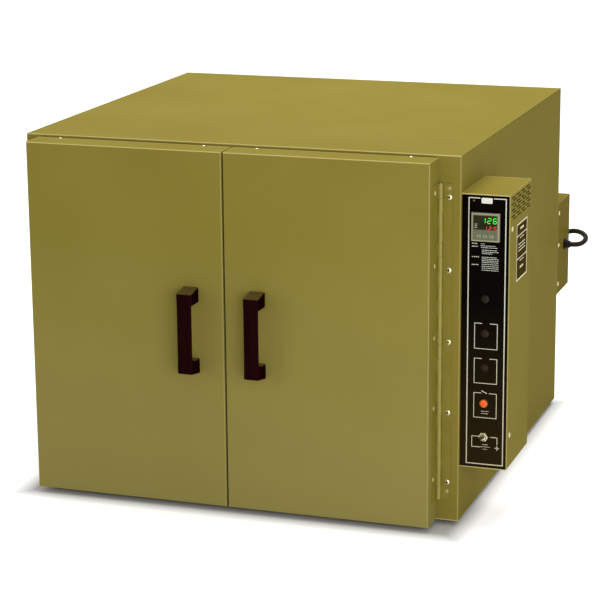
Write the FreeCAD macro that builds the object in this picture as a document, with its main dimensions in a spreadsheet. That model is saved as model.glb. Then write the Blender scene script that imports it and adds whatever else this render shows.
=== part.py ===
# Forced air bench oven: a two-door insulated cabinet with a narrow control box on its right side.
# Millimetres. X to the right, Y to the rear, Z up. The origin is on the floor, under the middle.
# Formulas in this file are written in the cabinet's own frame: across from its left side,
# back from its face and up from its underside.
import FreeCAD, Part
import math
import os
import re
import Sketcher

os.makedirs("parts", exist_ok=True)
doc = FreeCAD.newDocument("ForcedAirOven")

# Driving dimensions
SIZES = {
    "cabinet_width": 787.4,
    "cabinet_height": 635.0,
    "cabinet_depth": 762.0,
    "casing_thick": 1.5,
    "wall_thick": 50.8,
    "flange_width": 20.0,
    "casing_bend": 2.0,
    "foot_height": 10.0,
    "foot_radius": 18.0,
    "foot_inset": 75.0,
    "liner_thick": 1.2,
    "liner_depth": 702.0,
    "duct_width": 38.1,
    "duct_slot_length": 46.0,
    "duct_slot_height": 6.0,
    "baffle_place": 620.0,
    "inlet_radius": 76.0,
    "inlet_slot_width": 7.0,
    "inlet_hub_radius": 22.0,
    "door_thick": 50.8,
    "door_face_gap": 3.0,
    "left_margin": 23.0,
    "right_margin": 38.5,
    "door_gap": 3.0,
    "door_top_margin": 4.7,
    "door_bottom_margin": 1.0,
    "door_bend": 3.0,
    "gasket_width": 14.0,
    "gasket_inset": 22.0,
    "magnet_length": 50.0,
    "magnet_space": 10.0,
    "seat_clearance": 0.3,
    "handle_length": 153.0,
    "handle_bar_length": 142.0,
    "handle_width": 28.0,
    "handle_reach": 34.2,
    "handle_bar_thick": 13.0,
    "handle_leg": 27.0,
    "handle_corner": 2.4,
    "handle_offset": 60.5,
    "handle_height": 317.0,
    "handle_round": 2.0,
    "barrel_radius": 4.0,
    "pin_radius": 1.5,
    "running_clearance": 0.05,
    "hinge_clearance": 0.4,
    "hinge_bottom": 38.8,
    "knuckle_length": 25.0,
    "knuckle_gap": 0.4,
    "leaf_thick": 1.5,
    "right_leaf_width": 20.0,
    "left_leaf_width": 15.0,
    "door_leaf_width": 31.0,
    "screw_radius": 4.6,
    "screw_height": 1.9,
    "box_width": 82.5,
    "box_front": 5.0,
    "box_depth": 155.0,
    "box_bottom": 98.0,
    "box_height": 474.0,
    "box_bend": 3.0,
    "box_slot_length": 25.0,
    "box_slot_height": 2.6,
    "box_slot_pitch": 5.2,
    "box_slot_step": 34.0,
    "box_slot_inset": 10.0,
    "panel_recess": 3.0,
    "panel_thick": 1.5,
    "bezel_side": 48.0,
    "bezel_thick": 7.0,
    "bezel_drop": 55.0,
    "case_side": 44.5,
    "case_depth": 86.0,
    "window_width": 40.0,
    "window_height": 24.0,
    "key_width": 7.0,
    "key_height": 5.0,
    "key_pitch": 11.0,
    "plug_radius": 6.8,
    "plug_pitch": 59.7,
    "first_plug_height": 393.7,
    "lamp_height": 212.7,
    "lamp_radius": 7.8,
    "lens_radius": 6.7,
    "lens_stem_radius": 5.3,
    "bezel_reach": 3.0,
    "toggle_height": 153.4,
    "toggle_nut_radius": 8.2,
    "toggle_bush_radius": 5.9,
    "toggle_ball_radius": 4.2,
    "toggle_length": 17.0,
    "toggle_tilt": 12.0,
    "toggle_block_width": 14.0,
    "toggle_block_depth": 22.0,
    "toggle_block_height": 24.0,
    "toggle_reach": 7.0,
    "toggle_nut_thick": 2.6,
    "toggle_ball_place": 4.0,
    "cover_bottom": 217.0,
    "cover_height": 186.0,
    "cover_depth": 110.4,
    "motor_radius": 54.0,
    "motor_length": 88.0,
    "shaft_radius": 6.0,
    "wheel_radius": 90.0,
    "wheel_width": 46.0,
    "wheel_place": 642.0,
    "wheel_sheet": 1.6,
    "blade_thick": 1.4,
    "blade_depth": 22.0,
    "heater_radius": 124.0,
    "heater_tube_radius": 4.2,
    "heater_pitch": 24.0,
    "probe_radius": 2.5,
    "probe_length": 120.0,
    "shelf_low_height": 190.0,
    "shelf_high_height": 388.0,
    "shelf_depth": 556.0,
    "shelf_place": 56.0,
    "shelf_play": 2.0,
    "shelf_bar_radius": 3.0,
    "shelf_wire_radius": 1.6,
    "runner_width": 15.0,
    "vent_across": 610.0,
    "vent_drop": 135.0,
    "vent_radius": 34.0,
    "vent_hole_radius": 9.0,
    "vent_tube_radius": 30.0,
    "vent_sheet": 2.0,
    "grip_back": 62.6,
    "grip_height": 308.0,
    "grip_radius": 11.0,
    "grip_length": 13.0,
    "cord_radius": 5.0,
    "coil_mean_radius": 55.0,
    "coil_across": 560.0,
    "coil_back": 905.0,
    "plug_body_length": 46.0,
    "plug_body_width": 34.0,
    "plug_body_height": 26.0,
    "blade_length": 18.0,
    "blade_width": 6.4,
    "blade_sheet": 1.5,
    "blade_pitch": 12.7,
    "earth_radius": 2.4,
    "earth_drop": 8.5,
    "earth_length": 21.0,
}

# Places worked out from the driving dimensions. The first three move the cabinet's frame to the origin.
PLACES = {
    "overall_width": "cabinet_width + box_width + 2 * screw_height",
    "door_front": "-(door_face_gap + door_thick)",
    "overall_depth": "cabinet_depth + cover_depth + door_face_gap + door_thick + handle_reach",
    "left_side": "screw_height - overall_width / 2",
    "face": "door_face_gap + door_thick + handle_reach - overall_depth / 2",
    "underside": "foot_height",
    "frame_top": "cabinet_height - 2 * casing_thick",
    "door_width": "(cabinet_width - left_margin - right_margin - door_gap) / 2",
    "door_height": "cabinet_height - door_top_margin - door_bottom_margin",
    "left_door_left": "left_margin",
    "right_door_left": "left_margin + door_width + door_gap",
    "right_door_right": "cabinet_width - right_margin",
    "seam": "left_margin + door_width + door_gap / 2",
    "liner_width": "cabinet_width - 2 * wall_thick",
    "liner_height": "cabinet_height - 2 * wall_thick",
    "liner_floor": "wall_thick + liner_thick",
    "liner_ceiling": "cabinet_height - wall_thick - liner_thick",
    "chamber_left": "wall_thick + duct_width",
    "chamber_right": "cabinet_width - wall_thick - duct_width",
    "chamber_width": "cabinet_width - 2 * wall_thick - 2 * duct_width",
    "hinge_height": "22 * knuckle_length",
    "pin_back": "-(barrel_radius + hinge_clearance)",
    "right_pin": "right_door_right + barrel_radius + hinge_clearance",
    "left_pin": "left_door_left - barrel_radius - hinge_clearance",
    "panel_middle": "cabinet_width + box_width / 2",
    "panel_front": "box_front + panel_recess",
    "blower_across": "cabinet_width / 2",
    "blower_height": "cover_bottom + cover_height / 2",
    "shelf_width": "chamber_width - 2 * shelf_play",
    "grip_place": "cabinet_depth + grip_back",
    "vent_height": "cabinet_height - vent_drop",
    "bezel_height": "box_bottom + box_height - bezel_drop",
}


def ex(text):
    """A formula with the name of its sheet before each named value."""
    def with_sheet(match):
        word = match.group(0)
        if word in SIZES:
            return "Sizes." + word
        if word in PLACES:
            return "Places." + word
        return word
    return re.sub(r"[a-z][a-z_]*", with_sheet, str(text))


def make_sheets():
    """The driving dimensions as plain numbers, and the places as formulas of them."""
    sizes = doc.addObject("Spreadsheet::Sheet", "Sizes")
    for row, (alias, number) in enumerate(SIZES.items(), start=1):
        sizes.set("A%d" % row, alias)
        sizes.set("B%d" % row, str(number))
        sizes.setAlias("B%d" % row, alias)
    doc.recompute()
    places = doc.addObject("Spreadsheet::Sheet", "Places")
    for row, (alias, formula) in enumerate(PLACES.items(), start=1):
        places.set("A%d" % row, alias)
        places.setAlias("B%d" % row, alias)
    for row, (alias, formula) in enumerate(PLACES.items(), start=1):
        places.set("B%d" % row, "=" + ex(formula).replace("Places.", ""))
    doc.recompute()
    return sizes, places


sizes, places = make_sheets()
nodes = {}


def value(name):
    """The number that a sheet holds under a name."""
    sheet = sizes if name in SIZES else places
    return float(sheet.get(name))


def keep(label, piece):
    """Name a finished sub-part, whose label is its file's name."""
    piece.Label = label
    nodes[label] = piece
    return piece


def put(piece, across, back, up):
    """Place a piece in the cabinet's frame."""
    piece.setExpression("Placement.Base.x", ex("left_side + (%s)" % across))
    piece.setExpression("Placement.Base.y", ex("face + (%s)" % back))
    piece.setExpression("Placement.Base.z", ex("underside + (%s)" % up))
    return piece


def turn(piece, axis, angle):
    """Turn a piece about an axis through its own corner or centre."""
    piece.Placement = FreeCAD.Placement(FreeCAD.Vector(), FreeCAD.Rotation(FreeCAD.Vector(*axis), angle))
    return piece


def box(name, across, back, up, length, width, height):
    """A block from its lower left front corner."""
    piece = doc.addObject("Part::Box", name)
    piece.setExpression("Length", ex(length))
    piece.setExpression("Width", ex(width))
    piece.setExpression("Height", ex(height))
    return put(piece, across, back, up)


TURN_TO = {
    "X": ((0, 1, 0), 90),
    "Y": ((1, 0, 0), -90),
    "Z": ((0, 0, 1), 0),
}


def rod(name, axis, across, back, up, radius, height):
    """A cylinder that runs from its place along an axis."""
    piece = doc.addObject("Part::Cylinder", name)
    piece.setExpression("Radius", ex(radius))
    piece.setExpression("Height", ex(height))
    turn(piece, *TURN_TO[axis])
    return put(piece, across, back, up)


def cone(name, axis, across, back, up, radius, end_radius, height):
    """A cone that runs from its place along an axis."""
    piece = doc.addObject("Part::Cone", name)
    piece.setExpression("Radius1", ex(radius))
    piece.setExpression("Radius2", ex(end_radius))
    piece.setExpression("Height", ex(height))
    turn(piece, *TURN_TO[axis])
    return put(piece, across, back, up)


def cut(name, base, *tools):
    """The base with each tool taken away."""
    tool = tools[0]
    if len(tools) > 1:
        tool = group(name + "_tools", tools)
    piece = doc.addObject("Part::Cut", name)
    piece.Base = base
    piece.Tool = tool
    return piece


def fuse(name, *shapes):
    """Several solids joined as one."""
    piece = doc.addObject("Part::MultiFuse", name)
    piece.Shapes = list(shapes)
    piece.Refine = True
    return piece


def group(name, shapes):
    """Separate solids kept together in one sub-part."""
    piece = doc.addObject("Part::Compound", name)
    piece.Links = list(shapes)
    return piece


def new_body(name):
    """A body for sketched features."""
    return doc.addObject("PartDesign::Body", name)


def origin_feature(body, role):
    """One of a body's own origin planes or axes."""
    return next(item for item in body.Origin.OriginFeatures if item.Role == role)


def new_sketch(body, name, role, offset="0"):
    """An empty sketch on an origin plane of its body, or moved off it along the normal."""
    sketch = body.newObject("Sketcher::SketchObject", name)
    sketch.AttachmentSupport = [(origin_feature(body, role), "")]
    sketch.MapMode = "FlatFace"
    sketch.setExpression("AttachmentOffset.Base.z", ex(offset))
    return sketch


def hold(sketch, item, spot, across, up):
    """Hold a point of a sketch at two formulas from the sketch's origin."""
    for kind, formula in (("DistanceX", across), ("DistanceY", up)):
        number = sketch.ConstraintCount
        sketch.addConstraint(Sketcher.Constraint(kind, -1, 1, item, spot, 1.0 + item))
        sketch.setExpression("Constraints[%d]" % number, ex(formula))


def outline(body, name, role, corners, offset="0"):
    """A closed sketch through corners, each held by formulas."""
    sketch = new_sketch(body, name, role, offset)
    count = len(corners)
    first = sketch.GeometryCount
    for index in range(count):
        angle = 2 * math.pi * index / count
        following = 2 * math.pi * (index + 1) / count
        start = FreeCAD.Vector(50 * math.cos(angle), 50 * math.sin(angle), 0)
        end = FreeCAD.Vector(50 * math.cos(following), 50 * math.sin(following), 0)
        sketch.addGeometry(Part.LineSegment(start, end), False)
    for index in range(count):
        following = first + (index + 1) % count
        sketch.addConstraint(Sketcher.Constraint("Coincident", first + index, 2, following, 1))
    for index, (across, up) in enumerate(corners):
        hold(sketch, first + index, 1, across, up)
    return sketch


def rectangle(body, name, role, across, up, width, height, offset="0"):
    """A sketched rectangle from its lower left corner."""
    right = "%s + %s" % (across, width)
    top = "%s + %s" % (up, height)
    return outline(body, name, role, [(across, up), (right, up), (right, top), (across, top)], offset)


def circle(body, name, role, across, up, radius, offset="0"):
    """A sketched circle held by its centre and radius."""
    sketch = new_sketch(body, name, role, offset)
    sketch.addGeometry(Part.Circle(FreeCAD.Vector(5, 5, 0), FreeCAD.Vector(0, 0, 1), 5), False)
    hold(sketch, 0, 3, across, up)
    number = sketch.ConstraintCount
    sketch.addConstraint(Sketcher.Constraint("Radius", 0, 5.0))
    sketch.setExpression("Constraints[%d]" % number, ex(radius))
    return sketch


def pad(body, name, sketch, length, backwards=False):
    """Material from a sketch along its normal."""
    feature = body.newObject("PartDesign::Pad", name)
    feature.Profile = sketch
    feature.Reversed = backwards
    feature.setExpression("Length", ex(length))
    body.Tip = feature
    return feature


def pocket(body, name, sketch, length, backwards=False):
    """Material taken away from a sketch, checked to have taken some."""
    doc.recompute()
    before = body.Shape.Volume
    feature = body.newObject("PartDesign::Pocket", name)
    feature.Profile = sketch
    feature.Reversed = backwards
    feature.setExpression("Length", ex(length))
    body.Tip = feature
    doc.recompute()
    if body.Shape.Volume > before * 0.999999:
        raise ValueError("%s takes nothing away" % name)
    return feature


def around(body, name, feature, sketch, count):
    """Copies of a feature in a full circle about its sketch's normal."""
    pattern = body.newObject("PartDesign::PolarPattern", name)
    pattern.Originals = [feature]
    pattern.Axis = (sketch, ["N_Axis"])
    pattern.Angle = 360
    pattern.Occurrences = count
    body.Tip = pattern
    return pattern


def along(body, name, feature, sketch, axis, length, count):
    """Copies of a feature in a straight row."""
    pattern = body.newObject("PartDesign::LinearPattern", name)
    pattern.Originals = [feature]
    pattern.Direction = (sketch, [axis])
    pattern.setExpression("Length", ex(length))
    pattern.Occurrences = count
    body.Tip = pattern
    return pattern


def soften(body, name, test, radius):
    """Round the edges of a body that a test picks."""
    doc.recompute()
    base = body.Tip
    names = ["Edge%d" % number for number, edge in enumerate(base.Shape.Edges, start=1) if test(edge)]
    feature = body.newObject("PartDesign::Fillet", name)
    feature.Base = (base, names)
    feature.setExpression("Radius", ex(radius))
    body.Tip = feature
    return feature


def hollow(body, name, test, thick):
    """Turn a solid body into a shell that is open at the faces a test picks."""
    doc.recompute()
    base = body.Tip
    names = ["Face%d" % number for number, face in enumerate(base.Shape.Faces, start=1) if test(face)]
    feature = body.newObject("PartDesign::Thickness", name)
    feature.Base = (base, names)
    feature.Reversed = True
    feature.setExpression("Value", ex(thick))
    body.Tip = feature
    return feature


def flat_at(direction, level, shape):
    """Whether all of a face or edge lies at one level along X, Y or Z."""
    bounds = shape.BoundBox
    low = {"X": bounds.XMin, "Y": bounds.YMin, "Z": bounds.ZMin}[direction]
    high = {"X": bounds.XMax, "Y": bounds.YMax, "Z": bounds.ZMax}[direction]
    return abs(low - level) < 1e-3 and abs(high - level) < 1e-3


# Casing: side panels, top, base and back


def side_panel(label, left, inward):
    """A side sheet with a flange turned in at its top to carry the top cover.

    left is where its outer surface starts, and inward is 1 on the left side and -1 on the right."""
    body = new_body(label)
    sign = "%d" % inward
    section = outline(body, label + "_section", "XZ_Plane", [
        ("0", "0"),
        (sign + " * casing_thick", "0"),
        (sign + " * casing_thick", "frame_top"),
        (sign + " * flange_width", "frame_top"),
        (sign + " * flange_width", "frame_top + casing_thick"),
        ("0", "frame_top + casing_thick"),
    ])
    pad(body, label + "_sheet", section, "cabinet_depth - 2 * casing_thick", backwards=True)
    level = value("frame_top") + value("casing_thick")
    soften(body, label + "_bend", lambda edge: flat_at("X", 0, edge) and flat_at("Z", level, edge),
           "casing_bend")
    put(body, left, "casing_thick", "0")
    return keep(label, body)


def top_cover():
    """The top sheet, with a lip turned down over the top of the front frame."""
    body = new_body("top_cover")
    section = outline(body, "top_section", "YZ_Plane", [
        ("0", "-casing_thick"),
        ("casing_thick", "-casing_thick"),
        ("casing_thick", "0"),
        ("cabinet_depth", "0"),
        ("cabinet_depth", "casing_thick"),
        ("0", "casing_thick"),
    ])
    pad(body, "top_sheet", section, "cabinet_width")
    level = value("casing_thick")
    soften(body, "top_edge", lambda edge: flat_at("Z", level, edge) and edge.BoundBox.XLength > 1
           and flat_at("Y", 0, edge), "casing_thick * 0.6")
    put(body, "0", "0", "cabinet_height - casing_thick")
    return keep("top_cover", body)


def base_pan():
    """The floor sheet with its edges turned up inside the side panels."""
    body = new_body("base_pan")
    sheet = rectangle(body, "base_outline", "XY_Plane", "0", "0",
                      "cabinet_width - 2 * casing_thick", "cabinet_depth - 2 * casing_thick")
    pad(body, "base_block", sheet, "flange_width")
    level = value("flange_width")
    hollow(body, "base_tray", lambda face: flat_at("Z", level, face), "casing_thick")
    put(body, "casing_thick", "casing_thick", "0")
    return keep("base_pan", body)


def back_panel():
    """The back sheet with holes for the blower shaft, the heater leads and the vent."""
    body = new_body("back_panel")
    sheet = rectangle(body, "back_outline", "XZ_Plane", "0", "0", "cabinet_width", "frame_top + casing_thick")
    pad(body, "back_sheet", sheet, "casing_thick", backwards=True)
    holes = (
        ("shaft_hole", "blower_across", "blower_height", "shaft_radius + 3"),
        ("vent_hole", "vent_across", "vent_height", "vent_tube_radius"),
        ("left_lead_hole", "blower_across - heater_radius", "blower_height", "heater_tube_radius + 1"),
        ("right_lead_hole", "blower_across + heater_radius", "blower_height", "heater_tube_radius + 1"),
    )
    for name, across, up, radius in holes:
        sketch = circle(body, name + "_sketch", "XZ_Plane", across, up, radius)
        pocket(body, name, sketch, "casing_thick")
    put(body, "0", "cabinet_depth - casing_thick", "0")
    return keep("back_panel", body)


def front_frame():
    """Four mitred rails round the mouth of the oven, each with a flange turned in to the insulation."""
    width = "cabinet_width"
    top = "frame_top"
    inner_left = "wall_thick"
    inner_right = "cabinet_width - wall_thick"
    inner_low = "wall_thick"
    inner_high = "cabinet_height - wall_thick"
    corners = {
        "frame_left": [("0", "0"), (inner_left, inner_low), (inner_left, inner_high), ("0", top)],
        "frame_right": [(width, "0"), (width, top), (inner_right, inner_high), (inner_right, inner_low)],
        "frame_low": [("0", "0"), (width, "0"), (inner_right, inner_low), (inner_left, inner_low)],
        "frame_high": [("0", top), (inner_left, inner_high), (inner_right, inner_high), (width, top)],
    }
    rails = []
    for name, points in corners.items():
        body = new_body(name)
        sheet = outline(body, name + "_outline", "XZ_Plane", points)
        pad(body, name + "_sheet", sheet, "casing_thick", backwards=True)
        rails.append(put(body, "0", "0", "0"))
    return keep("front_frame", group("front_frame", rails))


def feet():
    """Four short tapered feet under the base."""
    places_of_feet = [(across, back)
                      for across in ("foot_inset", "cabinet_width - foot_inset")
                      for back in ("foot_inset", "cabinet_depth - foot_inset")]
    solids = []
    for number, (across, back) in enumerate(places_of_feet, start=1):
        name = "foot_%d" % number
        solids.append(cone(name, "Z", across, back, "-foot_height", "foot_radius * 0.88",
                           "foot_radius", "foot_height"))
    return keep("feet", group("feet", solids))


# Insulated lining, air ducts and blower


def chamber_liner():
    """The inner box, open at the front, with the shaft hole and the vent hole in its back."""
    body = new_body("chamber_liner")
    block = rectangle(body, "liner_outline", "XZ_Plane", "0", "0", "liner_width", "liner_height")
    pad(body, "liner_block", block, "liner_depth - casing_thick", backwards=True)
    hollow(body, "liner_shell", lambda face: flat_at("Y", 0, face), "liner_thick")
    holes = (
        ("liner_shaft_hole", "blower_across", "blower_height", "shaft_radius + 3"),
        ("liner_vent_hole", "vent_across", "vent_height", "vent_tube_radius"),
        ("liner_left_lead", "blower_across - heater_radius", "blower_height", "heater_tube_radius + 0.5"),
        ("liner_right_lead", "blower_across + heater_radius", "blower_height", "heater_tube_radius + 0.5"),
    )
    for name, across, up, radius in holes:
        sketch = circle(body, name + "_sketch", "XZ_Plane", across + " - wall_thick", up + " - wall_thick",
                        radius, "-(liner_depth - casing_thick)")
        pocket(body, name, sketch, "liner_thick", backwards=True)
    put(body, "wall_thick", "casing_thick", "wall_thick")
    return keep("chamber_liner", body)


def insulation_slabs():
    """Mineral wool boards between the casing and the liner on five sides."""
    depth = "liner_depth - 2 * casing_thick - flange_width"
    start = "2 * casing_thick + flange_width"
    board = "wall_thick - flange_width - casing_thick"
    low = box("slab_low", "wall_thick", start, "wall_thick - (%s)" % board, "liner_width", depth, board)
    high = box("slab_high", "wall_thick", start, "cabinet_height - wall_thick", "liner_width", depth, board)
    left = box("slab_left", "flange_width", start, "wall_thick - (%s)" % board, "wall_thick - flange_width",
               depth, "liner_height + 2 * (%s)" % board)
    right = box("slab_right", "cabinet_width - wall_thick", start, "wall_thick - (%s)" % board,
                "wall_thick - flange_width", depth, "liner_height + 2 * (%s)" % board)
    rear_depth = "cabinet_depth - casing_thick - liner_depth"
    block = box("slab_rear_block", "wall_thick", "liner_depth", "wall_thick", "liner_width", rear_depth,
                "liner_height")
    shaft_way = rod("slab_shaft_way", "Y", "blower_across", "liner_depth", "blower_height",
                    "shaft_radius + 3", rear_depth)
    vent_way = rod("slab_vent_way", "Y", "vent_across", "liner_depth", "vent_height",
                   "vent_tube_radius", rear_depth)
    leads = []
    for side in ("-", "+"):
        leads.append(rod("slab_lead_way", "Y", "blower_across %s heater_radius" % side, "liner_depth",
                         "blower_height", "heater_tube_radius + 0.5", rear_depth))
    rear = cut("slab_rear", block, shaft_way, vent_way, *leads)
    return keep("insulation_slabs", group("insulation_slabs", [low, high, left, right, rear]))


DUCT_COLUMNS = 5
DUCT_ROWS = 8


def duct_panel(label, inner, sign):
    """An upright sheet with rows of air slots, closed at the front by a flange to the liner wall.

    inner is its chamber side, and sign points from the chamber to the liner wall."""
    body = new_body(label + "_sheet")
    out = "%d" % sign
    section = outline(body, label + "_section", "XY_Plane", [
        ("0", "0"),
        (out + " * (duct_width - liner_thick)", "0"),
        (out + " * (duct_width - liner_thick)", "casing_thick"),
        (out + " * liner_thick", "casing_thick"),
        (out + " * liner_thick", "baffle_place"),
        ("0", "baffle_place"),
    ])
    pad(body, label + "_bent_sheet", section, "liner_height - 2 * liner_thick")
    put(body, inner, "0", "liner_floor")
    slots = []
    for column in range(DUCT_COLUMNS):
        for row in range(DUCT_ROWS):
            back = "baffle_place * %g / %d - duct_slot_length / 2" % (column + 0.5, DUCT_COLUMNS)
            up = "wall_thick + liner_height * %g / %d + duct_slot_height" % (row + 0.5, DUCT_ROWS)
            slots.append(box("%s_slot" % label, inner + " - duct_width / 2", back, up,
                             "duct_width", "duct_slot_length", "duct_slot_height"))
    return keep(label, cut(label, body, *slots))


def rear_baffle():
    """The sheet in front of the blower, with a ring of radial inlet slots."""
    body = new_body("rear_baffle")
    sheet = rectangle(body, "baffle_outline", "XZ_Plane", "-chamber_width / 2",
                      "liner_floor - blower_height", "chamber_width", "liner_height - 2 * liner_thick")
    pad(body, "baffle_sheet", sheet, "liner_thick", backwards=True)
    slot = rectangle(body, "inlet_slot_outline", "XZ_Plane", "-inlet_slot_width / 2", "inlet_hub_radius",
                     "inlet_slot_width", "inlet_radius - inlet_hub_radius")
    first = pocket(body, "inlet_slot", slot, "liner_thick")
    around(body, "inlet_slots", first, slot, 16)
    put(body, "blower_across", "baffle_place - liner_thick", "blower_height")
    return keep("rear_baffle", body)


def blower_wheel():
    """A centrifugal wheel: back disc, front ring, curved blades and a bored hub.

    Each blade is a cylinder wall sector, leaning forward between the eye and the rim."""
    body = new_body("blower_wheel")
    disc = circle(body, "wheel_disc_outline", "XZ_Plane", "0", "0", "wheel_radius",
                  "-(wheel_width - wheel_sheet)")
    pad(body, "wheel_disc", disc, "wheel_sheet", backwards=True)
    blade = outline(body, "blade_outline", "XZ_Plane", [
        ("-blade_depth * 0.30", "wheel_radius - blade_depth"),
        ("blade_thick - blade_depth * 0.30", "wheel_radius - blade_depth"),
        ("blade_thick + blade_depth * 0.06", "wheel_radius - blade_depth * 0.62"),
        ("blade_thick + blade_depth * 0.10", "wheel_radius - blade_depth * 0.26"),
        ("blade_thick - blade_depth * 0.06", "wheel_radius - blade_thick"),
        ("-blade_depth * 0.06", "wheel_radius - blade_thick"),
        ("blade_depth * 0.10 - blade_thick * 0.2", "wheel_radius - blade_depth * 0.30"),
        ("blade_depth * 0.06 - blade_thick * 0.2", "wheel_radius - blade_depth * 0.60"),
    ])
    first = pad(body, "blade", blade, "wheel_width - wheel_sheet", backwards=True)
    around(body, "blades", first, blade, 20)
    ring = circle(body, "wheel_ring_outline", "XZ_Plane", "0", "0", "wheel_radius")
    pad(body, "wheel_ring", ring, "wheel_sheet", backwards=True)
    eye = circle(body, "wheel_eye_outline", "XZ_Plane", "0", "0", "wheel_radius - blade_depth * 0.6")
    pocket(body, "wheel_eye", eye, "wheel_sheet")
    hub = circle(body, "wheel_hub_outline", "XZ_Plane", "0", "0", "shaft_radius * 2.2",
                 "-wheel_width * 0.55")
    pad(body, "wheel_hub", hub, "wheel_width * 0.45", backwards=True)
    bore = circle(body, "wheel_bore_outline", "XZ_Plane", "0", "0", "shaft_radius", "-wheel_width")
    pocket(body, "wheel_bore", bore, "wheel_width", backwards=True)
    put(body, "blower_across", "wheel_place", "blower_height")
    return keep("blower_wheel", body)


def blower_motor():
    """The motor can on the back panel: a ribbed shell with a bored nose for the shaft."""
    body = new_body("blower_motor")
    can = circle(body, "motor_outline", "XZ_Plane", "0", "0", "motor_radius")
    pad(body, "motor_can", can, "motor_length", backwards=True)
    rear = value("motor_length")
    soften(body, "motor_round", lambda edge: flat_at("Y", rear, edge), "motor_radius * 0.14")
    fin = rectangle(body, "fin_slot_outline", "XZ_Plane", "-2", "motor_radius - 4", "4", "6",
                    "-motor_length * 0.2")
    groove = pocket(body, "fin_slot", fin, "motor_length * 0.55")
    around(body, "fin_slots", groove, fin, 12)
    bore = circle(body, "motor_bore_outline", "XZ_Plane", "0", "0", "shaft_radius + running_clearance")
    pocket(body, "motor_bore", bore, "motor_length * 0.3")
    put(body, "blower_across", "cabinet_depth", "blower_height")
    return keep("blower_motor", body)


def motor_shaft():
    """The shaft from the motor's bore through the rear wall to the wheel."""
    start = "wheel_place + wheel_width * 0.5"
    return keep("motor_shaft", rod("motor_shaft", "Y", "blower_across", start, "blower_height",
                                   "shaft_radius", "cabinet_depth + motor_length * 0.25 - (%s)" % start))


def heater_element():
    """Two tubular heater rings round the wheel, joined to two straight leads through the rear wall."""
    rings = []
    for number in (0, 1):
        ring = doc.addObject("Part::Torus", "heater_ring")
        ring.setExpression("Radius1", ex("heater_radius"))
        ring.setExpression("Radius2", ex("heater_tube_radius"))
        turn(ring, (1, 0, 0), 90)
        rings.append(put(ring, "blower_across", "wheel_place + heater_pitch * %g" % (number + 0.3),
                         "blower_height"))
    leads = []
    for side in ("-", "+"):
        start = "wheel_place + heater_pitch * 0.3"
        leads.append(rod("heater_lead", "Y", "blower_across %s heater_radius" % side, start,
                         "blower_height", "heater_tube_radius", "cabinet_depth + 12 - (%s)" % start))
    return keep("heater_element", fuse("heater_element", *rings, *leads))


def temperature_probe():
    """A straight probe just under the ceiling, in a gland on the right duct panel."""
    level = "liner_ceiling - probe_radius * 3"
    stem = rod("probe_stem", "X", "chamber_right - probe_length", "baffle_place * 0.6", level,
               "probe_radius", "probe_length")
    gland = rod("probe_gland", "X", "chamber_right - probe_radius * 4", "baffle_place * 0.6", level,
                "probe_radius * 2.6", "probe_radius * 4")
    return keep("temperature_probe", fuse("temperature_probe", stem, gland))


SHELVES = {
    "shelf_lower": "shelf_low_height",
    "shelf_upper": "shelf_high_height",
}


def shelf_runners():
    """Angle runners on both duct panels, one pair for each shelf."""
    runners = []
    for label, level in SHELVES.items():
        for side in ("left", "right"):
            body = new_body("%s_%s_runner" % (label, side))
            sign = "1" if side == "left" else "-1"
            section = outline(body, "%s_%s_runner_section" % (label, side), "XZ_Plane", [
                ("0", "0"),
                (sign + " * runner_width", "0"),
                (sign + " * runner_width", "-casing_thick"),
                (sign + " * casing_thick", "-casing_thick"),
                (sign + " * casing_thick", "-runner_width"),
                ("0", "-runner_width"),
            ])
            pad(body, "%s_%s_runner_sheet" % (label, side), section, "baffle_place - 2 * wall_thick",
                backwards=True)
            runners.append(put(body, "chamber_" + side, "wall_thick", level))
    return keep("shelf_runners", group("shelf_runners", runners))


SHELF_WIRES = 18


def wire_shelf(label, level):
    """A welded shelf: a round frame, a middle bar and a row of thin wires on top."""
    middle = "%s + shelf_bar_radius + 0.05" % level
    left = "chamber_left + shelf_play + shelf_bar_radius"
    span = "shelf_width - 2 * shelf_bar_radius"
    bars = []
    for side in ("0", span):
        bars.append(rod(label + "_side_bar", "Y", "%s + %s" % (left, side), "shelf_place", middle,
                        "shelf_bar_radius", "shelf_depth"))
    for share in (0, 0.5, 1):
        back = "shelf_place + shelf_bar_radius + (shelf_depth - 2 * shelf_bar_radius) * %g" % share
        bars.append(rod(label + "_cross_bar", "X", left, back, middle, "shelf_bar_radius", span))
    top = "%s + shelf_bar_radius + shelf_wire_radius * 0.7" % middle
    for number in range(1, SHELF_WIRES + 1):
        across = "%s + (%s) * %d / %d" % (left, span, number, SHELF_WIRES + 1)
        bars.append(rod(label + "_wire", "Y", across, "shelf_place", top, "shelf_wire_radius",
                        "shelf_depth"))
    return keep(label, fuse(label, *bars))


# Doors


def door_skin(label, left):
    """The outer pan of a door, open at the rear, with rounded folds."""
    body = new_body(label)
    block = rectangle(body, label + "_outline", "XZ_Plane", "0", "0", "door_width", "door_height")
    pad(body, label + "_block", block, "door_thick", backwards=True)
    soften(body, label + "_folds", lambda edge: flat_at("Y", 0, edge), "door_bend")
    inside = rectangle(body, label + "_inside_outline", "XZ_Plane", "casing_thick", "casing_thick",
                       "door_width - 2 * casing_thick", "door_height - 2 * casing_thick", "-door_thick")
    pocket(body, label + "_inside", inside, "door_thick - casing_thick", backwards=True)
    put(body, left, "door_front", "door_bottom_margin")
    return keep(label, body)


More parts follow.
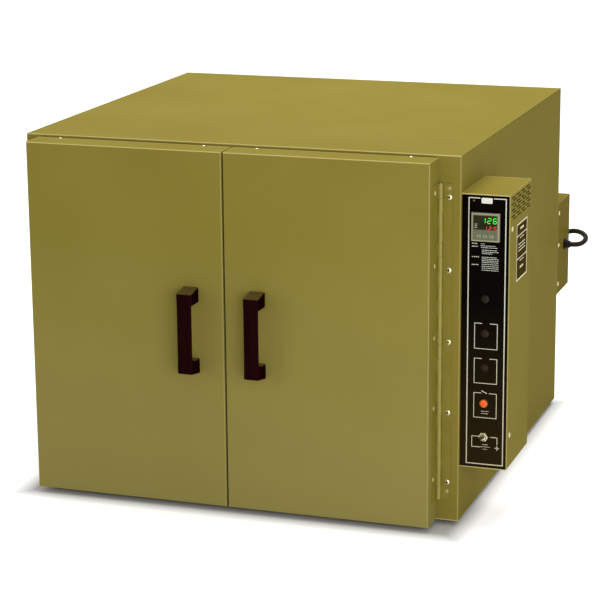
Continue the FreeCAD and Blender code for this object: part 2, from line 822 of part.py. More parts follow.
def door_inner(side, left):
    """The inner pan of a door, its insulation and its gasket."""
    inset = "casing_thick + 0.05"
    body = new_body(side + "_door_liner")
    block = rectangle(body, side + "_liner_outline", "XZ_Plane", "0", "0",
                      "door_width - 2 * (%s)" % inset, "door_height - 2 * (%s)" % inset)
    pad(body, side + "_liner_block", block, "flange_width", backwards=True)
    hollow(body, side + "_liner_pan", lambda face: flat_at("Y", 0, face), "casing_thick")
    put(body, "%s + %s" % (left, inset), "-(door_face_gap + flange_width)",
        "door_bottom_margin + %s" % inset)
    keep(side + "_door_liner", body)

    slab = box(side + "_door_insulation", "%s + 2 * casing_thick + 0.1" % left, "door_front + casing_thick",
               "door_bottom_margin + 2 * casing_thick + 0.1", "door_width - 4 * casing_thick - 0.2",
               "door_thick - 2 * casing_thick", "door_height - 4 * casing_thick - 0.2")
    round_off = doc.addObject("Part::Fillet", side + "_insulation_edges")
    round_off.Base = slab
    doc.recompute()
    front = slab.Shape.BoundBox.YMin
    edges = [number for number, edge in enumerate(slab.Shape.Edges, start=1) if flat_at("Y", front, edge)]
    round_off.Edges = [(number, value("casing_thick"), value("casing_thick")) for number in edges]
    return keep(side + "_door_insulation", round_off)


def door_gasket(side, left):
    """A square section seal round the rear of a door."""
    body = new_body(side + "_door_gasket")
    width = "door_width - 2 * gasket_inset"
    height = "door_height - 2 * gasket_inset"
    ring = rectangle(body, side + "_gasket_outline", "XZ_Plane", "0", "0", width, height)
    pad(body, side + "_gasket_block", ring, "door_face_gap - seat_clearance", backwards=True)
    hole = rectangle(body, side + "_gasket_hole", "XZ_Plane", "gasket_width", "gasket_width",
                     "(%s) - 2 * gasket_width" % width, "(%s) - 2 * gasket_width" % height)
    pocket(body, side + "_gasket_ring", hole, "door_face_gap")
    put(body, "%s + gasket_inset" % left, "-door_face_gap", "door_bottom_margin + gasket_inset")
    return keep(side + "_door_gasket", body)


def seam_seal():
    """The strip on the free edge of the left door that closes the gap between the doors."""
    return keep("seam_seal", box("seam_seal", "left_margin + door_width", "-(door_face_gap + flange_width)",
                                 "door_bottom_margin + gasket_inset", "door_gap - hinge_clearance",
                                 "flange_width", "door_height - 2 * gasket_inset"))


def door_handle(label, centre):
    """A moulded bridge pull: flared legs, a straight bar and a finger gap behind it."""
    body = new_body(label)
    half = "handle_length / 2"
    bar = "handle_bar_length / 2"
    side = outline(body, label + "_side", "YZ_Plane", [
        ("0", "-%s" % half),
        ("0", "handle_leg - %s" % half),
        ("-(handle_reach - handle_bar_thick)", "handle_leg - %s" % half),
        ("-(handle_reach - handle_bar_thick)", "%s - handle_leg" % half),
        ("0", "%s - handle_leg" % half),
        ("0", half),
        ("-(handle_reach - handle_corner)", bar),
        ("-handle_reach", "%s - handle_corner" % bar),
        ("-handle_reach", "handle_corner - %s" % bar),
        ("-(handle_reach - handle_corner)", "-%s" % bar),
    ])
    pad(body, label + "_bridge", side, "handle_width")
    soften(body, label + "_round", lambda edge: edge.BoundBox.YMin < -1 and edge.BoundBox.YMax < 1e-3
           and edge.BoundBox.XLength < 1e-3, "handle_round")
    put(body, "%s - handle_width / 2" % centre, "door_front", "handle_height")
    return keep(label, body)


# Hinges


HINGE_PAIRS = 11


def hinge_leaf(label, pin, plate, web, first):
    """One leaf of a continuous hinge: a plate and every second knuckle, bored for the pin.

    plate and web are the block formulas of the sheet and of the piece that joins it to a knuckle,
    and first is 0 or 1 for the odd or the even knuckles."""
    solids = [box(label + "_plate", plate[0], plate[1], "hinge_bottom", plate[2], plate[3],
                  "hinge_height - knuckle_gap")]
    for number in range(HINGE_PAIRS):
        up = "hinge_bottom + knuckle_length * %d" % (2 * number + first)
        solids.append(rod(label + "_knuckle", "Z", pin, "pin_back", up, "barrel_radius",
                          "knuckle_length - knuckle_gap"))
        solids.append(box(label + "_web", web[0], web[1], up, web[2], web[3],
                          "knuckle_length - knuckle_gap"))
    joined = fuse(label + "_joined", *solids)
    bore = rod(label + "_bore", "Z", pin, "pin_back", "hinge_bottom - 1",
               "pin_radius + running_clearance", "hinge_height + 2")
    return keep(label, cut(label, joined, bore))


def hinge(side, pin, outwards, leaf_width):
    """A piano hinge: the frame leaf on the face, the door leaf on the door's edge and the pin.

    outwards is 1 where the frame leaf lies to the right of the pin and -1 to the left."""
    clear = "(barrel_radius + hinge_clearance)"
    if outwards == 1:
        frame_start = "%s + %s" % (pin, clear)
        frame_web = "%s + %s" % (pin, "pin_radius + 0.6")
        door_start = "%s - %s" % (pin, clear)
    else:
        frame_start = "%s - %s" % (pin, leaf_width)
        frame_web = "%s - %s" % (pin, clear)
        door_start = "%s + %s - leaf_thick" % (pin, clear)
    web_length = "%s - pin_radius - 0.6" % clear
    frame_plate = (frame_start, "-leaf_thick", "%s - %s" % (leaf_width, clear), "leaf_thick")
    frame_joint = (frame_web, "-leaf_thick", web_length, "leaf_thick")
    hinge_leaf(side + "_hinge_frame_leaf", pin, frame_plate, frame_joint, 0)
    door_plate = (door_start, "pin_back - door_leaf_width", "leaf_thick", "door_leaf_width - %s" % clear)
    door_joint = (door_start, "pin_back - %s" % clear, "leaf_thick", "%s - pin_radius - 0.6" % clear)
    hinge_leaf(side + "_hinge_door_leaf", pin, door_plate, door_joint, 1)
    return keep(side + "_hinge_pin", rod(side + "_hinge_pin", "Z", pin, "pin_back", "hinge_bottom - 0.5",
                                         "pin_radius", "hinge_height + 1"))


HINGE_SCREWS = 5


def hinge_screws():
    """Domed screws down both frame leaves."""
    screws = []
    for pin, sign, leaf_width in (("right_pin", "+", "right_leaf_width"), ("left_pin", "-", "left_leaf_width")):
        across = "%s %s (%s - screw_radius - 1)" % (pin, sign, leaf_width)
        for number in range(HINGE_SCREWS):
            up = "hinge_bottom + hinge_height * (0.055 + 0.2255 * %d)" % number
            head = cone("hinge_screw", "Y", across, "-leaf_thick - screw_height", up,
                        "screw_radius * 0.45", "screw_radius * 0.9", "screw_height")
            screws.append(head)
    return keep("hinge_screws", group("hinge_screws", screws))


def catch_magnets():
    """Magnet bars on the frame that hold each door, above and below the mouth."""
    bars = []
    for across in ("seam - door_gap - magnet_space - magnet_length", "seam + door_gap + magnet_space"):
        for up in ("wall_thick * 0.12", "cabinet_height - wall_thick * 0.42"):
            bars.append(box("catch_magnet", across, "-(door_face_gap - seat_clearance)", up,
                            "magnet_length", "door_face_gap - seat_clearance", "wall_thick * 0.24"))
    return keep("catch_magnets", group("catch_magnets", bars))


# Control box


SLOT_ROWS = 8
SLOT_COLUMNS = 4


def control_box_cover():
    """A folded sheet box, open to the cabinet and to the front, with staggered vent slots."""
    body = new_body("control_box_shell")
    block = rectangle(body, "box_outline", "XZ_Plane", "0", "0", "box_width", "box_height")
    pad(body, "box_block", block, "box_depth", backwards=True)
    width = value("box_width")
    height = value("box_height")
    depth = value("box_depth")
    soften(body, "box_folds", lambda edge: flat_at("X", width, edge) and
           (flat_at("Z", 0, edge) or flat_at("Z", height, edge) or flat_at("Y", depth, edge)), "box_bend")
    hollow(body, "box_shell", lambda face: flat_at("X", 0, face) or flat_at("Y", 0, face), "casing_thick")
    put(body, "cabinet_width", "box_front", "box_bottom")
    slots = []
    for row in range(SLOT_ROWS):
        shift = "box_slot_step / 3" if row % 2 else "0"
        up = "box_bottom + box_height - box_bend - box_slot_pitch * %d" % (row + 1)
        for column in range(SLOT_COLUMNS):
            back = "box_front + box_slot_inset + box_slot_step * %d + %s" % (column, shift)
            slots.append(box("box_slot", "cabinet_width + box_width - 2 * casing_thick", back, up,
                             "4 * casing_thick", "box_slot_length", "box_slot_height"))
    return keep("control_box_cover", cut("control_box_cover", body, *slots))


def control_panel():
    """The dark panel set back in the mouth of the box, with its cut-outs."""
    body = new_body("control_panel")
    edge = "(casing_thick + 0.1)"
    sheet = rectangle(body, "panel_outline", "XZ_Plane", "0.1 - box_width / 2", "box_bottom + %s" % edge,
                      "box_width - %s - 0.1" % edge, "box_height - 2 * %s" % edge)
    pad(body, "panel_sheet", sheet, "panel_thick", backwards=True)
    mouth = rectangle(body, "case_mouth_outline", "XZ_Plane", "-case_side / 2 - 0.2",
                      "bezel_height - case_side / 2 - 0.2", "case_side + 0.4", "case_side + 0.4")
    pocket(body, "case_mouth", mouth, "panel_thick")
    holes = [
        ("lamp_hole", "lamp_height", "lamp_radius * 0.75"),
        ("toggle_hole", "toggle_height", "toggle_bush_radius"),
    ]
    for number in range(3):
        holes.append(("plug_hole_%d" % number, "first_plug_height - plug_pitch * %d" % number,
                      "plug_radius * 0.7"))
    for name, up, radius in holes:
        sketch = circle(body, name + "_sketch", "XZ_Plane", "0", up, radius)
        pocket(body, name, sketch, "panel_thick")
    put(body, "panel_middle", "panel_front", "0")
    return keep("control_panel", body)


def controller():
    """The square temperature controller: bezel and case in one, window and three keys."""
    body = new_body("controller_case")
    rim = rectangle(body, "bezel_outline", "XZ_Plane", "-bezel_side / 2", "-bezel_side / 2",
                    "bezel_side", "bezel_side")
    pad(body, "bezel", rim, "bezel_thick")
    front = -value("bezel_thick")
    soften(body, "bezel_round", lambda edge: flat_at("Y", front, edge), "bezel_thick * 0.2")
    rear = rectangle(body, "case_outline", "XZ_Plane", "-case_side / 2", "-case_side / 2",
                     "case_side", "case_side")
    pad(body, "case", rear, "case_depth", backwards=True)
    glass = rectangle(body, "window_seat_outline", "XZ_Plane", "-window_width / 2",
                      "bezel_side * 0.42 - window_height", "window_width", "window_height", "bezel_thick")
    pocket(body, "window_seat", glass, "2")
    for number in range(3):
        seat = rectangle(body, "key_seat_outline_%d" % number, "XZ_Plane",
                         "key_pitch * %d - key_width / 2 - 0.3" % (number - 1),
                         "-bezel_side * 0.36 - 0.3", "key_width + 0.6", "key_height + 0.6", "bezel_thick")
        pocket(body, "key_seat_%d" % number, seat, "3")
    put(body, "panel_middle", "panel_front", "bezel_height")
    keep("controller_case", body)
    keep("controller_window", box("controller_window", "panel_middle - window_width / 2",
                                  "panel_front - bezel_thick + 0.4",
                                  "bezel_height + bezel_side * 0.42 - window_height",
                                  "window_width", "1.6", "window_height"))
    for number in range(3):
        label = "key_%d" % (number + 1)
        keep(label, box(label, "panel_middle + key_pitch * %d - key_width / 2" % (number - 1),
                        "panel_front - bezel_thick - 0.5", "bezel_height - bezel_side * 0.36",
                        "key_width", "2.5", "key_height"))


def panel_plugs():
    """Domed blanking plugs in the three spare holes of the panel."""
    plugs = []
    for number in range(3):
        up = "first_plug_height - plug_pitch * %d" % number
        head = cone("plug_head_%d" % number, "Y", "panel_middle", "panel_front - 2.4", up,
                    "plug_radius * 0.7", "plug_radius", "2.4")
        stem = rod("plug_stem_%d" % number, "Y", "panel_middle", "panel_front", up,
                   "plug_radius * 0.7 - 0.1", "panel_thick + 3")
        plugs.append(fuse("panel_plug_%d" % number, head, stem))
    return keep("panel_plugs", group("panel_plugs", plugs))


def pilot_lamp():
    """The lamp: a turned bezel with its barrel, and a lens whose cap covers the bezel's front."""
    front = "panel_front - bezel_reach"
    rim = cone("lamp_rim", "Y", "panel_middle", front, "lamp_height", "lamp_radius * 0.9",
               "lamp_radius", "bezel_reach")
    barrel = rod("lamp_barrel", "Y", "panel_middle", "panel_front", "lamp_height",
                 "lamp_radius * 0.75 - 0.1", "lamp_radius * 3")
    bezel = fuse("lamp_bezel_solid", rim, barrel)
    seat = rod("lamp_seat", "Y", "panel_middle", front, "lamp_height", "lens_stem_radius",
               "bezel_reach * 1.6")
    keep("pilot_bezel", cut("pilot_bezel", bezel, seat))
    stem = rod("lens_stem", "Y", "panel_middle", front + " - 0.5", "lamp_height", "lens_stem_radius",
               "bezel_reach * 1.6 + 0.5")
    cap = rod("lens_cap", "Y", "panel_middle", front + " - 1", "lamp_height", "lens_radius", "1")
    dome = cone("lens_dome", "Y", "panel_middle", front + " - bezel_reach", "lamp_height",
                "lens_radius * 0.6", "lens_radius", "bezel_reach - 1")
    keep("pilot_lens", fuse("pilot_lens", stem, cap, dome))


def toggle_switch():
    """The power toggle: switch block, threaded bush with its nut, and a lever on a ball."""
    block = box("toggle_block", "panel_middle - toggle_block_width / 2", "panel_front + panel_thick",
                "toggle_height - toggle_block_height / 2", "toggle_block_width", "toggle_block_depth",
                "toggle_block_height")
    bush = rod("toggle_bush", "Y", "panel_middle", "panel_front - toggle_reach", "toggle_height",
               "toggle_bush_radius - 0.1", "panel_thick + toggle_reach + 1")
    nut = doc.addObject("Part::Prism", "toggle_nut")
    nut.Polygon = 6
    nut.setExpression("Circumradius", ex("toggle_nut_radius"))
    nut.setExpression("Height", ex("toggle_nut_thick"))
    turn(nut, *TURN_TO["Y"])
    put(nut, "panel_middle", "panel_front - toggle_nut_thick", "toggle_height")
    solid = fuse("toggle_solid", block, bush, nut)
    well = rod("toggle_well", "Y", "panel_middle", "panel_front - toggle_reach", "toggle_height",
               "toggle_ball_radius + seat_clearance", "toggle_reach + 2")
    keep("toggle_switch_body", cut("toggle_switch_body", solid, well))
    ball = doc.addObject("Part::Sphere", "toggle_ball")
    ball.setExpression("Radius", ex("toggle_ball_radius"))
    put(ball, "panel_middle", "panel_front - toggle_ball_place", "toggle_height")
    bat = doc.addObject("Part::Cone", "toggle_bat")
    bat.setExpression("Radius1", ex("toggle_ball_radius * 0.5"))
    bat.setExpression("Radius2", ex("toggle_ball_radius * 0.76"))
    bat.setExpression("Height", ex("toggle_length"))
    turn(bat, (1, 0, 0), 90 - value("toggle_tilt"))
    put(bat, "panel_middle", "panel_front - toggle_ball_place", "toggle_height")
    keep("toggle_lever", fuse("toggle_lever", ball, bat))


# Rear cover, vent and cord


COVER_SLOTS = 9


def rear_cover():
    """The wide box over the motor, open to the back panel, with two groups of air slots."""
    body = new_body("rear_cover")
    block = rectangle(body, "cover_outline", "XZ_Plane", "0", "0", "cabinet_width", "cover_height")
    pad(body, "cover_block", block, "cover_depth", backwards=True)
    rear = value("cover_depth")
    soften(body, "cover_folds", lambda edge: flat_at("Y", rear, edge), "box_bend")
    hollow(body, "cover_shell", lambda face: flat_at("Y", 0, face), "casing_thick")
    for name, across in (("left_slot", "cabinet_width * 0.14"), ("right_slot", "cabinet_width * 0.68")):
        sketch = rectangle(body, name + "_outline", "XZ_Plane", across, "cover_height * 0.25",
                           "duct_slot_height", "cover_height * 0.5", "-cover_depth")
        first = pocket(body, name, sketch, "2 * casing_thick", backwards=True)
        along(body, name + "s", first, sketch, "H_Axis", "cabinet_width * 0.18", COVER_SLOTS)
    grip = circle(body, "grip_hole_outline", "YZ_Plane", "grip_back", "grip_height - cover_bottom",
                  "grip_radius * 0.7", "cabinet_width")
    pocket(body, "grip_hole", grip, "2 * casing_thick")
    put(body, "0", "cabinet_depth", "cover_bottom")
    return keep("rear_cover", body)


def cover_screws():
    """Domed screws in the ends of the rear cover and in the side of the control box."""
    spots = []
    for share in (0.11, 0.54, 0.89):
        up = "cover_bottom + cover_height * %g" % share
        spots.append(("X", "cabinet_width", "cabinet_depth + 9", up, False))
        spots.append(("X", "-screw_height", "cabinet_depth + 9", up, True))
    for back, up in (("box_front + 14", "box_bottom + box_height * 0.877"),
                     ("box_front + 16", "box_bottom + box_height * 0.123")):
        spots.append(("X", "cabinet_width + box_width", back, up, False))
    heads = []
    for axis, across, back, up, inwards in spots:
        radii = ("screw_radius", "screw_radius * 0.5")
        if inwards:
            radii = (radii[1], radii[0])
        heads.append(cone("cover_screw", axis, across, back, up, radii[0], radii[1], "screw_height"))
    return keep("cover_screws", group("cover_screws", heads))


def vent():
    """The exhaust: a tube through the rear wall, its pierced end plate and pivot, and a turning disc."""
    length = "cabinet_depth - liner_depth + liner_thick + 8"
    start = "liner_depth - liner_thick - 8"
    tube = rod("vent_wall", "Y", "vent_across", start, "vent_height", "vent_tube_radius", length)
    way = rod("vent_way", "Y", "vent_across", start, "vent_height", "vent_tube_radius - casing_thick", length)
    plate = rod("vent_plate", "Y", "vent_across", "cabinet_depth", "vent_height",
                "vent_radius + 6", "vent_sheet")
    pivot = rod("vent_pivot", "Y", "vent_across", "cabinet_depth", "vent_height",
                "3", "3 * vent_sheet + 0.6")
    cap = rod("vent_cap", "Y", "vent_across", "cabinet_depth + 2 * vent_sheet + 0.6", "vent_height",
              "7", "vent_sheet + 2")
    shell = cut("vent_shell", tube, way)
    holes = []
    disc_holes = []
    for number in range(3):
        angle = math.radians(120 * number + 30)
        across = "vent_across + vent_radius * 0.56 * %.6f" % math.cos(angle)
        up = "vent_height + vent_radius * 0.56 * %.6f" % math.sin(angle)
        holes.append(rod("vent_plate_hole", "Y", across, "cabinet_depth - 1", up, "vent_hole_radius",
                         "vent_sheet + 2"))
        disc_holes.append(rod("vent_disc_hole", "Y", across, "cabinet_depth", up, "vent_hole_radius",
                              "3 * vent_sheet"))
    solid = fuse("vent_solid", shell, plate, pivot, cap)
    keep("vent_tube", cut("vent_tube", solid, *holes))
    disc = rod("vent_disc_sheet", "Y", "vent_across", "cabinet_depth + vent_sheet + 0.3", "vent_height",
               "vent_radius", "vent_sheet")
    tab = box("vent_tab", "vent_across + vent_radius * 0.8", "cabinet_depth + vent_sheet + 0.3",
              "vent_height - 6", "vent_radius * 0.5", "vent_sheet", "12")
    joined = fuse("vent_disc_solid", disc, tab)
    bore = rod("vent_disc_bore", "Y", "vent_across", "cabinet_depth", "vent_height",
               "3 + running_clearance", "5 * vent_sheet")
    keep("vent_disc", cut("vent_disc", joined, bore, *disc_holes))


def cord_grip():
    """The strain relief in the end of the rear cover: hex body, nut inside and a tapered bush."""
    hexagon = doc.addObject("Part::Prism", "grip_hex")
    hexagon.Polygon = 6
    hexagon.setExpression("Circumradius", ex("grip_radius"))
    hexagon.setExpression("Height", ex("grip_length * 0.3"))
    turn(hexagon, *TURN_TO["X"])
    put(hexagon, "cabinet_width", "grip_place", "grip_height")
    taper = cone("grip_taper", "X", "cabinet_width + grip_length * 0.3", "grip_place", "grip_height",
                 "grip_radius * 0.82", "cord_radius + 1.6", "grip_length * 0.7")
    stem = rod("grip_stem", "X", "cabinet_width - 8", "grip_place", "grip_height",
               "grip_radius * 0.7 - 0.1", "8")
    nut = rod("grip_nut", "X", "cabinet_width - casing_thick - 5", "grip_place", "grip_height",
              "grip_radius", "5")
    solid = fuse("grip_solid", hexagon, taper, stem, nut)
    return keep("cord_grip", solid)


# The cord: out of the grip, round behind the cover, down and along the floor to its coil.
# Points in the cabinet's frame, millimetres.
CORD_POINTS = [
    (800.4, 824.6, 308),
    (811, 824.6, 308),
    (820.5, 829.5, 309.5),
    (826, 839.5, 312.5),
    (826.5, 852, 316),
    (822, 865, 319.5),
    (812, 877, 322),
    (798, 886.5, 323),
    (780, 893, 319),
    (764, 898, 306),
    (752, 902, 284),
    (743, 905, 254),
    (735, 906, 212),
    (731, 906, 165),
    (731, 907, 125),
    (733, 908, 86),
    (730, 911, 44),
    (716, 914, 13),
    (686, 914, -5),
    (645, 911, -5),
    (602, 906, -5),
    (560, 905, -5),
]
TAIL_POINTS = [
    (560, 905, 5),
    (526, 907, 3),
    (492, 907, 3),
]
ARC_SHARE = 0.45


def rounded_path(points):
    """Straight runs joined by tangent arcs, each as large as its two runs allow."""
    edges = []
    start = points[0]
    radii = []
    for before, corner, after in zip(points, points[1:], points[2:]):
        back = before - corner
        ahead = after - corner
        shorter = min(back.Length, ahead.Length)
        half_turn = (math.pi - back.getAngle(ahead)) / 2
        reach = ARC_SHARE * shorter
        radius = reach / math.tan(half_turn)
        radii.append(radius)
        back.normalize()
        ahead.normalize()
        arc_start = corner + back * reach
        arc_end = corner + ahead * reach
        inward = back + ahead
        inward.normalize()
        middle = corner + inward * (radius / math.cos(half_turn) - radius)
        edges.append(Part.LineSegment(start, arc_start).toShape())
        edges.append(Part.Arc(arc_start, middle, arc_end).toShape())
        start = arc_end
    edges.append(Part.LineSegment(start, points[-1]).toShape())
    print("cord radii", " ".join("%.0f" % radius for radius in radii))
    return Part.Wire(edges)


def cord_tube(points):
    """A round tube swept along a rounded path, compared with its section times its length."""
    radius = value("cord_radius")
    shift = FreeCAD.Vector(value("left_side"), value("face"), value("underside"))
    path = rounded_path([FreeCAD.Vector(*point) + shift for point in points])
    first = path.Edges[0]
    heading = first.tangentAt(first.FirstParameter)
    section = Part.Wire(Part.Circle(path.Vertexes[0].Point, heading, radius).toShape())
    tube = path.makePipeShell([section], True, False)
    expected = math.pi * radius ** 2 * path.Length
    if abs(tube.Volume / expected - 1) > 0.01:
        raise ValueError("the cord's volume is not its section times its length")
    print("cord length", round(path.Length, 1))
    return tube


def cord():
    """The cord's two free stretches, its coil and its plug."""
    tubes = doc.addObject("Part::Feature", "power_cord")
    tubes.Shape = Part.Compound([cord_tube(CORD_POINTS), cord_tube(TAIL_POINTS)])
    keep("power_cord", tubes)

    ring = rod("coil_ring", "Z", "coil_across", "coil_back - coil_mean_radius - cord_radius", "-foot_height",
               "coil_mean_radius + 2.2 * cord_radius", "4 * cord_radius")
    eye = rod("coil_eye", "Z", "coil_across", "coil_back - coil_mean_radius - cord_radius", "-foot_height",
              "coil_mean_radius - 2.2 * cord_radius", "4 * cord_radius")
    keep("cord_coil", cut("cord_coil", ring, eye))

    body = new_body("plug_shell")
    side = outline(body, "plug_side", "XY_Plane", [
        ("0", "-cord_radius * 1.4"),
        ("0", "cord_radius * 1.4"),
        ("-plug_body_length * 0.3", "plug_body_width * 0.36"),
        ("-plug_body_length * 0.5", "plug_body_width / 2"),
        ("-plug_body_length", "plug_body_width / 2"),
        ("-plug_body_length", "-plug_body_width / 2"),
        ("-plug_body_length * 0.5", "-plug_body_width / 2"),
        ("-plug_body_length * 0.3", "-plug_body_width * 0.36"),
    ])
    pad(body, "plug_block", side, "plug_body_height")
    soften(body, "plug_round", lambda edge: edge.BoundBox.ZLength > 1 and edge.BoundBox.XMax < -1,
           "plug_body_height * 0.12")
    across, back, up = TAIL_POINTS[-1]
    put(body, str(across), str(back), "%s - plug_body_height / 2" % up)
    blades = []
    for side_step in (-1, 1):
        blades.append(box("plug_blade", "%s - plug_body_length - blade_length" % across,
                          "%s + blade_pitch / 2 * %d - blade_sheet / 2" % (back, side_step),
                          "%s - blade_width / 2" % up, "blade_length + 2", "blade_sheet", "blade_width"))
    earth = rod("plug_earth", "X", "%s - plug_body_length - earth_length" % across, str(back),
                "%s - earth_drop" % up, "earth_radius", "earth_length + 2")
    keep("plug", fuse("plug", body, *blades, earth))


def build():
    """Make every sub-part."""
    side_panel("side_panel_left", "0", 1)
    side_panel("side_panel_right", "cabinet_width", -1)
    top_cover()
    base_pan()
    back_panel()
    front_frame()
    feet()
    chamber_liner()
    insulation_slabs()
    duct_panel("duct_panel_left", "chamber_left", -1)
    duct_panel("duct_panel_right", "chamber_right", 1)
    rear_baffle()
    heater_element()
    blower_motor()
    motor_shaft()
    blower_wheel()
    temperature_probe()
    shelf_runners()
    for label, level in SHELVES.items():
        wire_shelf(label, level)
    for side, left in (("left", "left_door_left"), ("right", "right_door_left")):
        door_skin(side + "_door_skin", left)
        door_inner(side, left)
        door_gasket(side, left)
    door_handle("left_door_handle", "seam - handle_offset")
    door_handle("right_door_handle", "seam + handle_offset")
    seam_seal()
    hinge("left", "left_pin", -1, "left_leaf_width")
    hinge("right", "right_pin", 1, "right_leaf_width")
    hinge_screws()
    catch_magnets()
    control_box_cover()
    control_panel()
    controller()
    panel_plugs()
    pilot_lamp()
    toggle_switch()
    rear_cover()
    cover_screws()
    vent()
    cord_grip()
    cord()


def save():
    """Check every object, then write each sub-part to its file."""
    doc.recompute()
    for item in doc.Objects:
        if "Invalid" in item.State or "Error" in item.State:
            raise ValueError("%s has failed: %s" % (item.Label, item.State))
    for label, piece in nodes.items():
        if piece.Shape.isNull() or not piece.Shape.isValid():
            raise ValueError("%s has no valid shape" % label)
    for label, piece in nodes.items():
        piece.Shape.exportStep("parts/%s.step" % label)
    print(len(nodes), "sub-parts")


build()
save()
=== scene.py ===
# %% [markdown]
# # A forced air bench oven, dressed for its picture
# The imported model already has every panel, door, shelf and screw in its place. This notebook gives them
# their finishes and makes the small things that a plain solid can't show: screw heads with a cross in
# them, the printed lines of the panel, lit digits, a threaded bush, a soft black cord in its coil.
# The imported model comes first, because each new piece is placed by it.

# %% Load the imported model
import math
import bpy
import numpy as np
from mathutils import Matrix, Vector


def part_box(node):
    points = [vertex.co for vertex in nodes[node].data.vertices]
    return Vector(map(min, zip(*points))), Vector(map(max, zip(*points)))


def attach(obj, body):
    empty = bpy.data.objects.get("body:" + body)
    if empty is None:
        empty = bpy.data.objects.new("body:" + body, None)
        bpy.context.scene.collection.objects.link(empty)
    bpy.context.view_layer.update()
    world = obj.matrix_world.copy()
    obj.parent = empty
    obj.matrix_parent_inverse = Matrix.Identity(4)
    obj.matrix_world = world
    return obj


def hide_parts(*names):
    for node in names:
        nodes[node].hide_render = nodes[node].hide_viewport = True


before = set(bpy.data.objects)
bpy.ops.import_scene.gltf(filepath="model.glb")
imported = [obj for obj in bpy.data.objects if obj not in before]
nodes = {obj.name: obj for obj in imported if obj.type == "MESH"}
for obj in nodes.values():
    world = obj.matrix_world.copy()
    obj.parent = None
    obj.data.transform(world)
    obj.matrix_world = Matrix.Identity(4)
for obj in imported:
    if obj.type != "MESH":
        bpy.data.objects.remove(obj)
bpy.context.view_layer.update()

# %% [markdown]
# ## One ruler for everything
# A sheet metal worker measures from the cabinet's left side, its face and its underside, in millimetres.
# Reading those three planes from the model once lets every later cell write a place the same way.

# %% The cabinet's own ruler
MM = 0.001
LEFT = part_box("side_panel_left")[0].x
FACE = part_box("front_frame")[0].y
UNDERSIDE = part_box("base_pan")[0].z


def at(across, back, up):
    """Metres from millimetres: the cabinet's corner plus the three distances, numbers or arrays."""
    across, back, up = np.broadcast_arrays(across, back, up)
    return np.stack([LEFT + across * MM, FACE + back * MM, UNDERSIDE + up * MM], axis=-1)


def node_box(name):
    """A node's lowest and highest corner on the ruler, in millimetres."""
    corner = np.array([LEFT, FACE, UNDERSIDE])
    return [(np.array(point) - corner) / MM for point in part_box(name)]


def node_middle(name):
    """The middle of a node's box on the ruler: half the sum of its two corners."""
    low, high = node_box(name)
    return (low + high) / 2


right_side = node_box("side_panel_right")[1][0]
box_right = node_box("control_box_cover")[1][0]
panel_front = node_box("control_panel")[0][1]
panel_middle = node_middle("controller_case")[0]
print("right side", round(right_side, 1), "box's side", round(box_right, 1))
print("panel's front", round(panel_front, 1), "its middle", round(panel_middle, 1))

# %% [markdown]
# ## The camera
# The picture was taken from the right and a little above with a long lens, so the cabinet's edges hardly
# converge. The lens, the place and the three turns below bring the model's corners onto the picture's.
# A turned camera needs no sideways lens shift, so other views of the oven stay framed as well.

# %% Camera
PICTURE_WIDTH = 600
LENS_PIXELS = 2180.0
SENSOR_WIDTH = 36
FOCAL = LENS_PIXELS / PICTURE_WIDTH * SENSOR_WIDTH
CAMERA_PLACE = (1.2492, -3.8138, 1.2997)
YAW, PITCH, ROLL = (math.radians(angle) for angle in (19.018, 14.256, -0.492))


def into_scene(name, data):
    """A new object for some data, linked into the scene at its origin."""
    piece = bpy.data.objects.new(name, data)
    bpy.context.scene.collection.objects.link(piece)
    return piece


def camera_axes(yaw, pitch, roll):
    """The camera's right, up and backward directions: turned left by yaw, tipped down by pitch, rolled."""
    forward = np.array([-math.sin(yaw) * math.cos(pitch), math.cos(yaw) * math.cos(pitch), -math.sin(pitch)])
    level = np.array([math.cos(yaw), math.sin(yaw), 0.0])
    over = np.cross(level, forward)
    right = level * math.cos(roll) + over * math.sin(roll)
    up = over * math.cos(roll) - level * math.sin(roll)
    return right, up, -forward


camera_data = bpy.data.cameras.new("camera")
camera_data.sensor_width = SENSOR_WIDTH
camera_data.lens = FOCAL
camera = into_scene("camera", camera_data)
pose = np.eye(4)
pose[:3, :3] = np.stack(camera_axes(YAW, PITCH, ROLL), axis=1)
pose[:3, 3] = CAMERA_PLACE
camera.matrix_world = Matrix(pose.tolist())
bpy.context.scene.camera = camera
bpy.context.scene.view_settings.view_transform = "Standard"
print("lens", round(FOCAL, 1), "mm")

# %% [markdown]
# ## Surfaces from two parameters
# Turned, swept and pressed parts are all a grid of points: one parameter runs along the piece and one runs
# round it. Modelling tools could make each of them, but a formula keeps the sizes exact and lets one
# helper close every seam and pole and turn every face outwards.

# %% Grid surfaces
def solid_volume(points, faces):
    """Six times the volume: the sum, over each face's fan of triangles, of its corners' triple product."""
    corners = points[np.array(faces)]
    fans = [np.einsum("ij,ij->i", corners[:, 0], np.cross(corners[:, k], corners[:, k + 1]))
            for k in range(1, corners.shape[1] - 1)]
    return float(sum(fan.sum() for fan in fans))


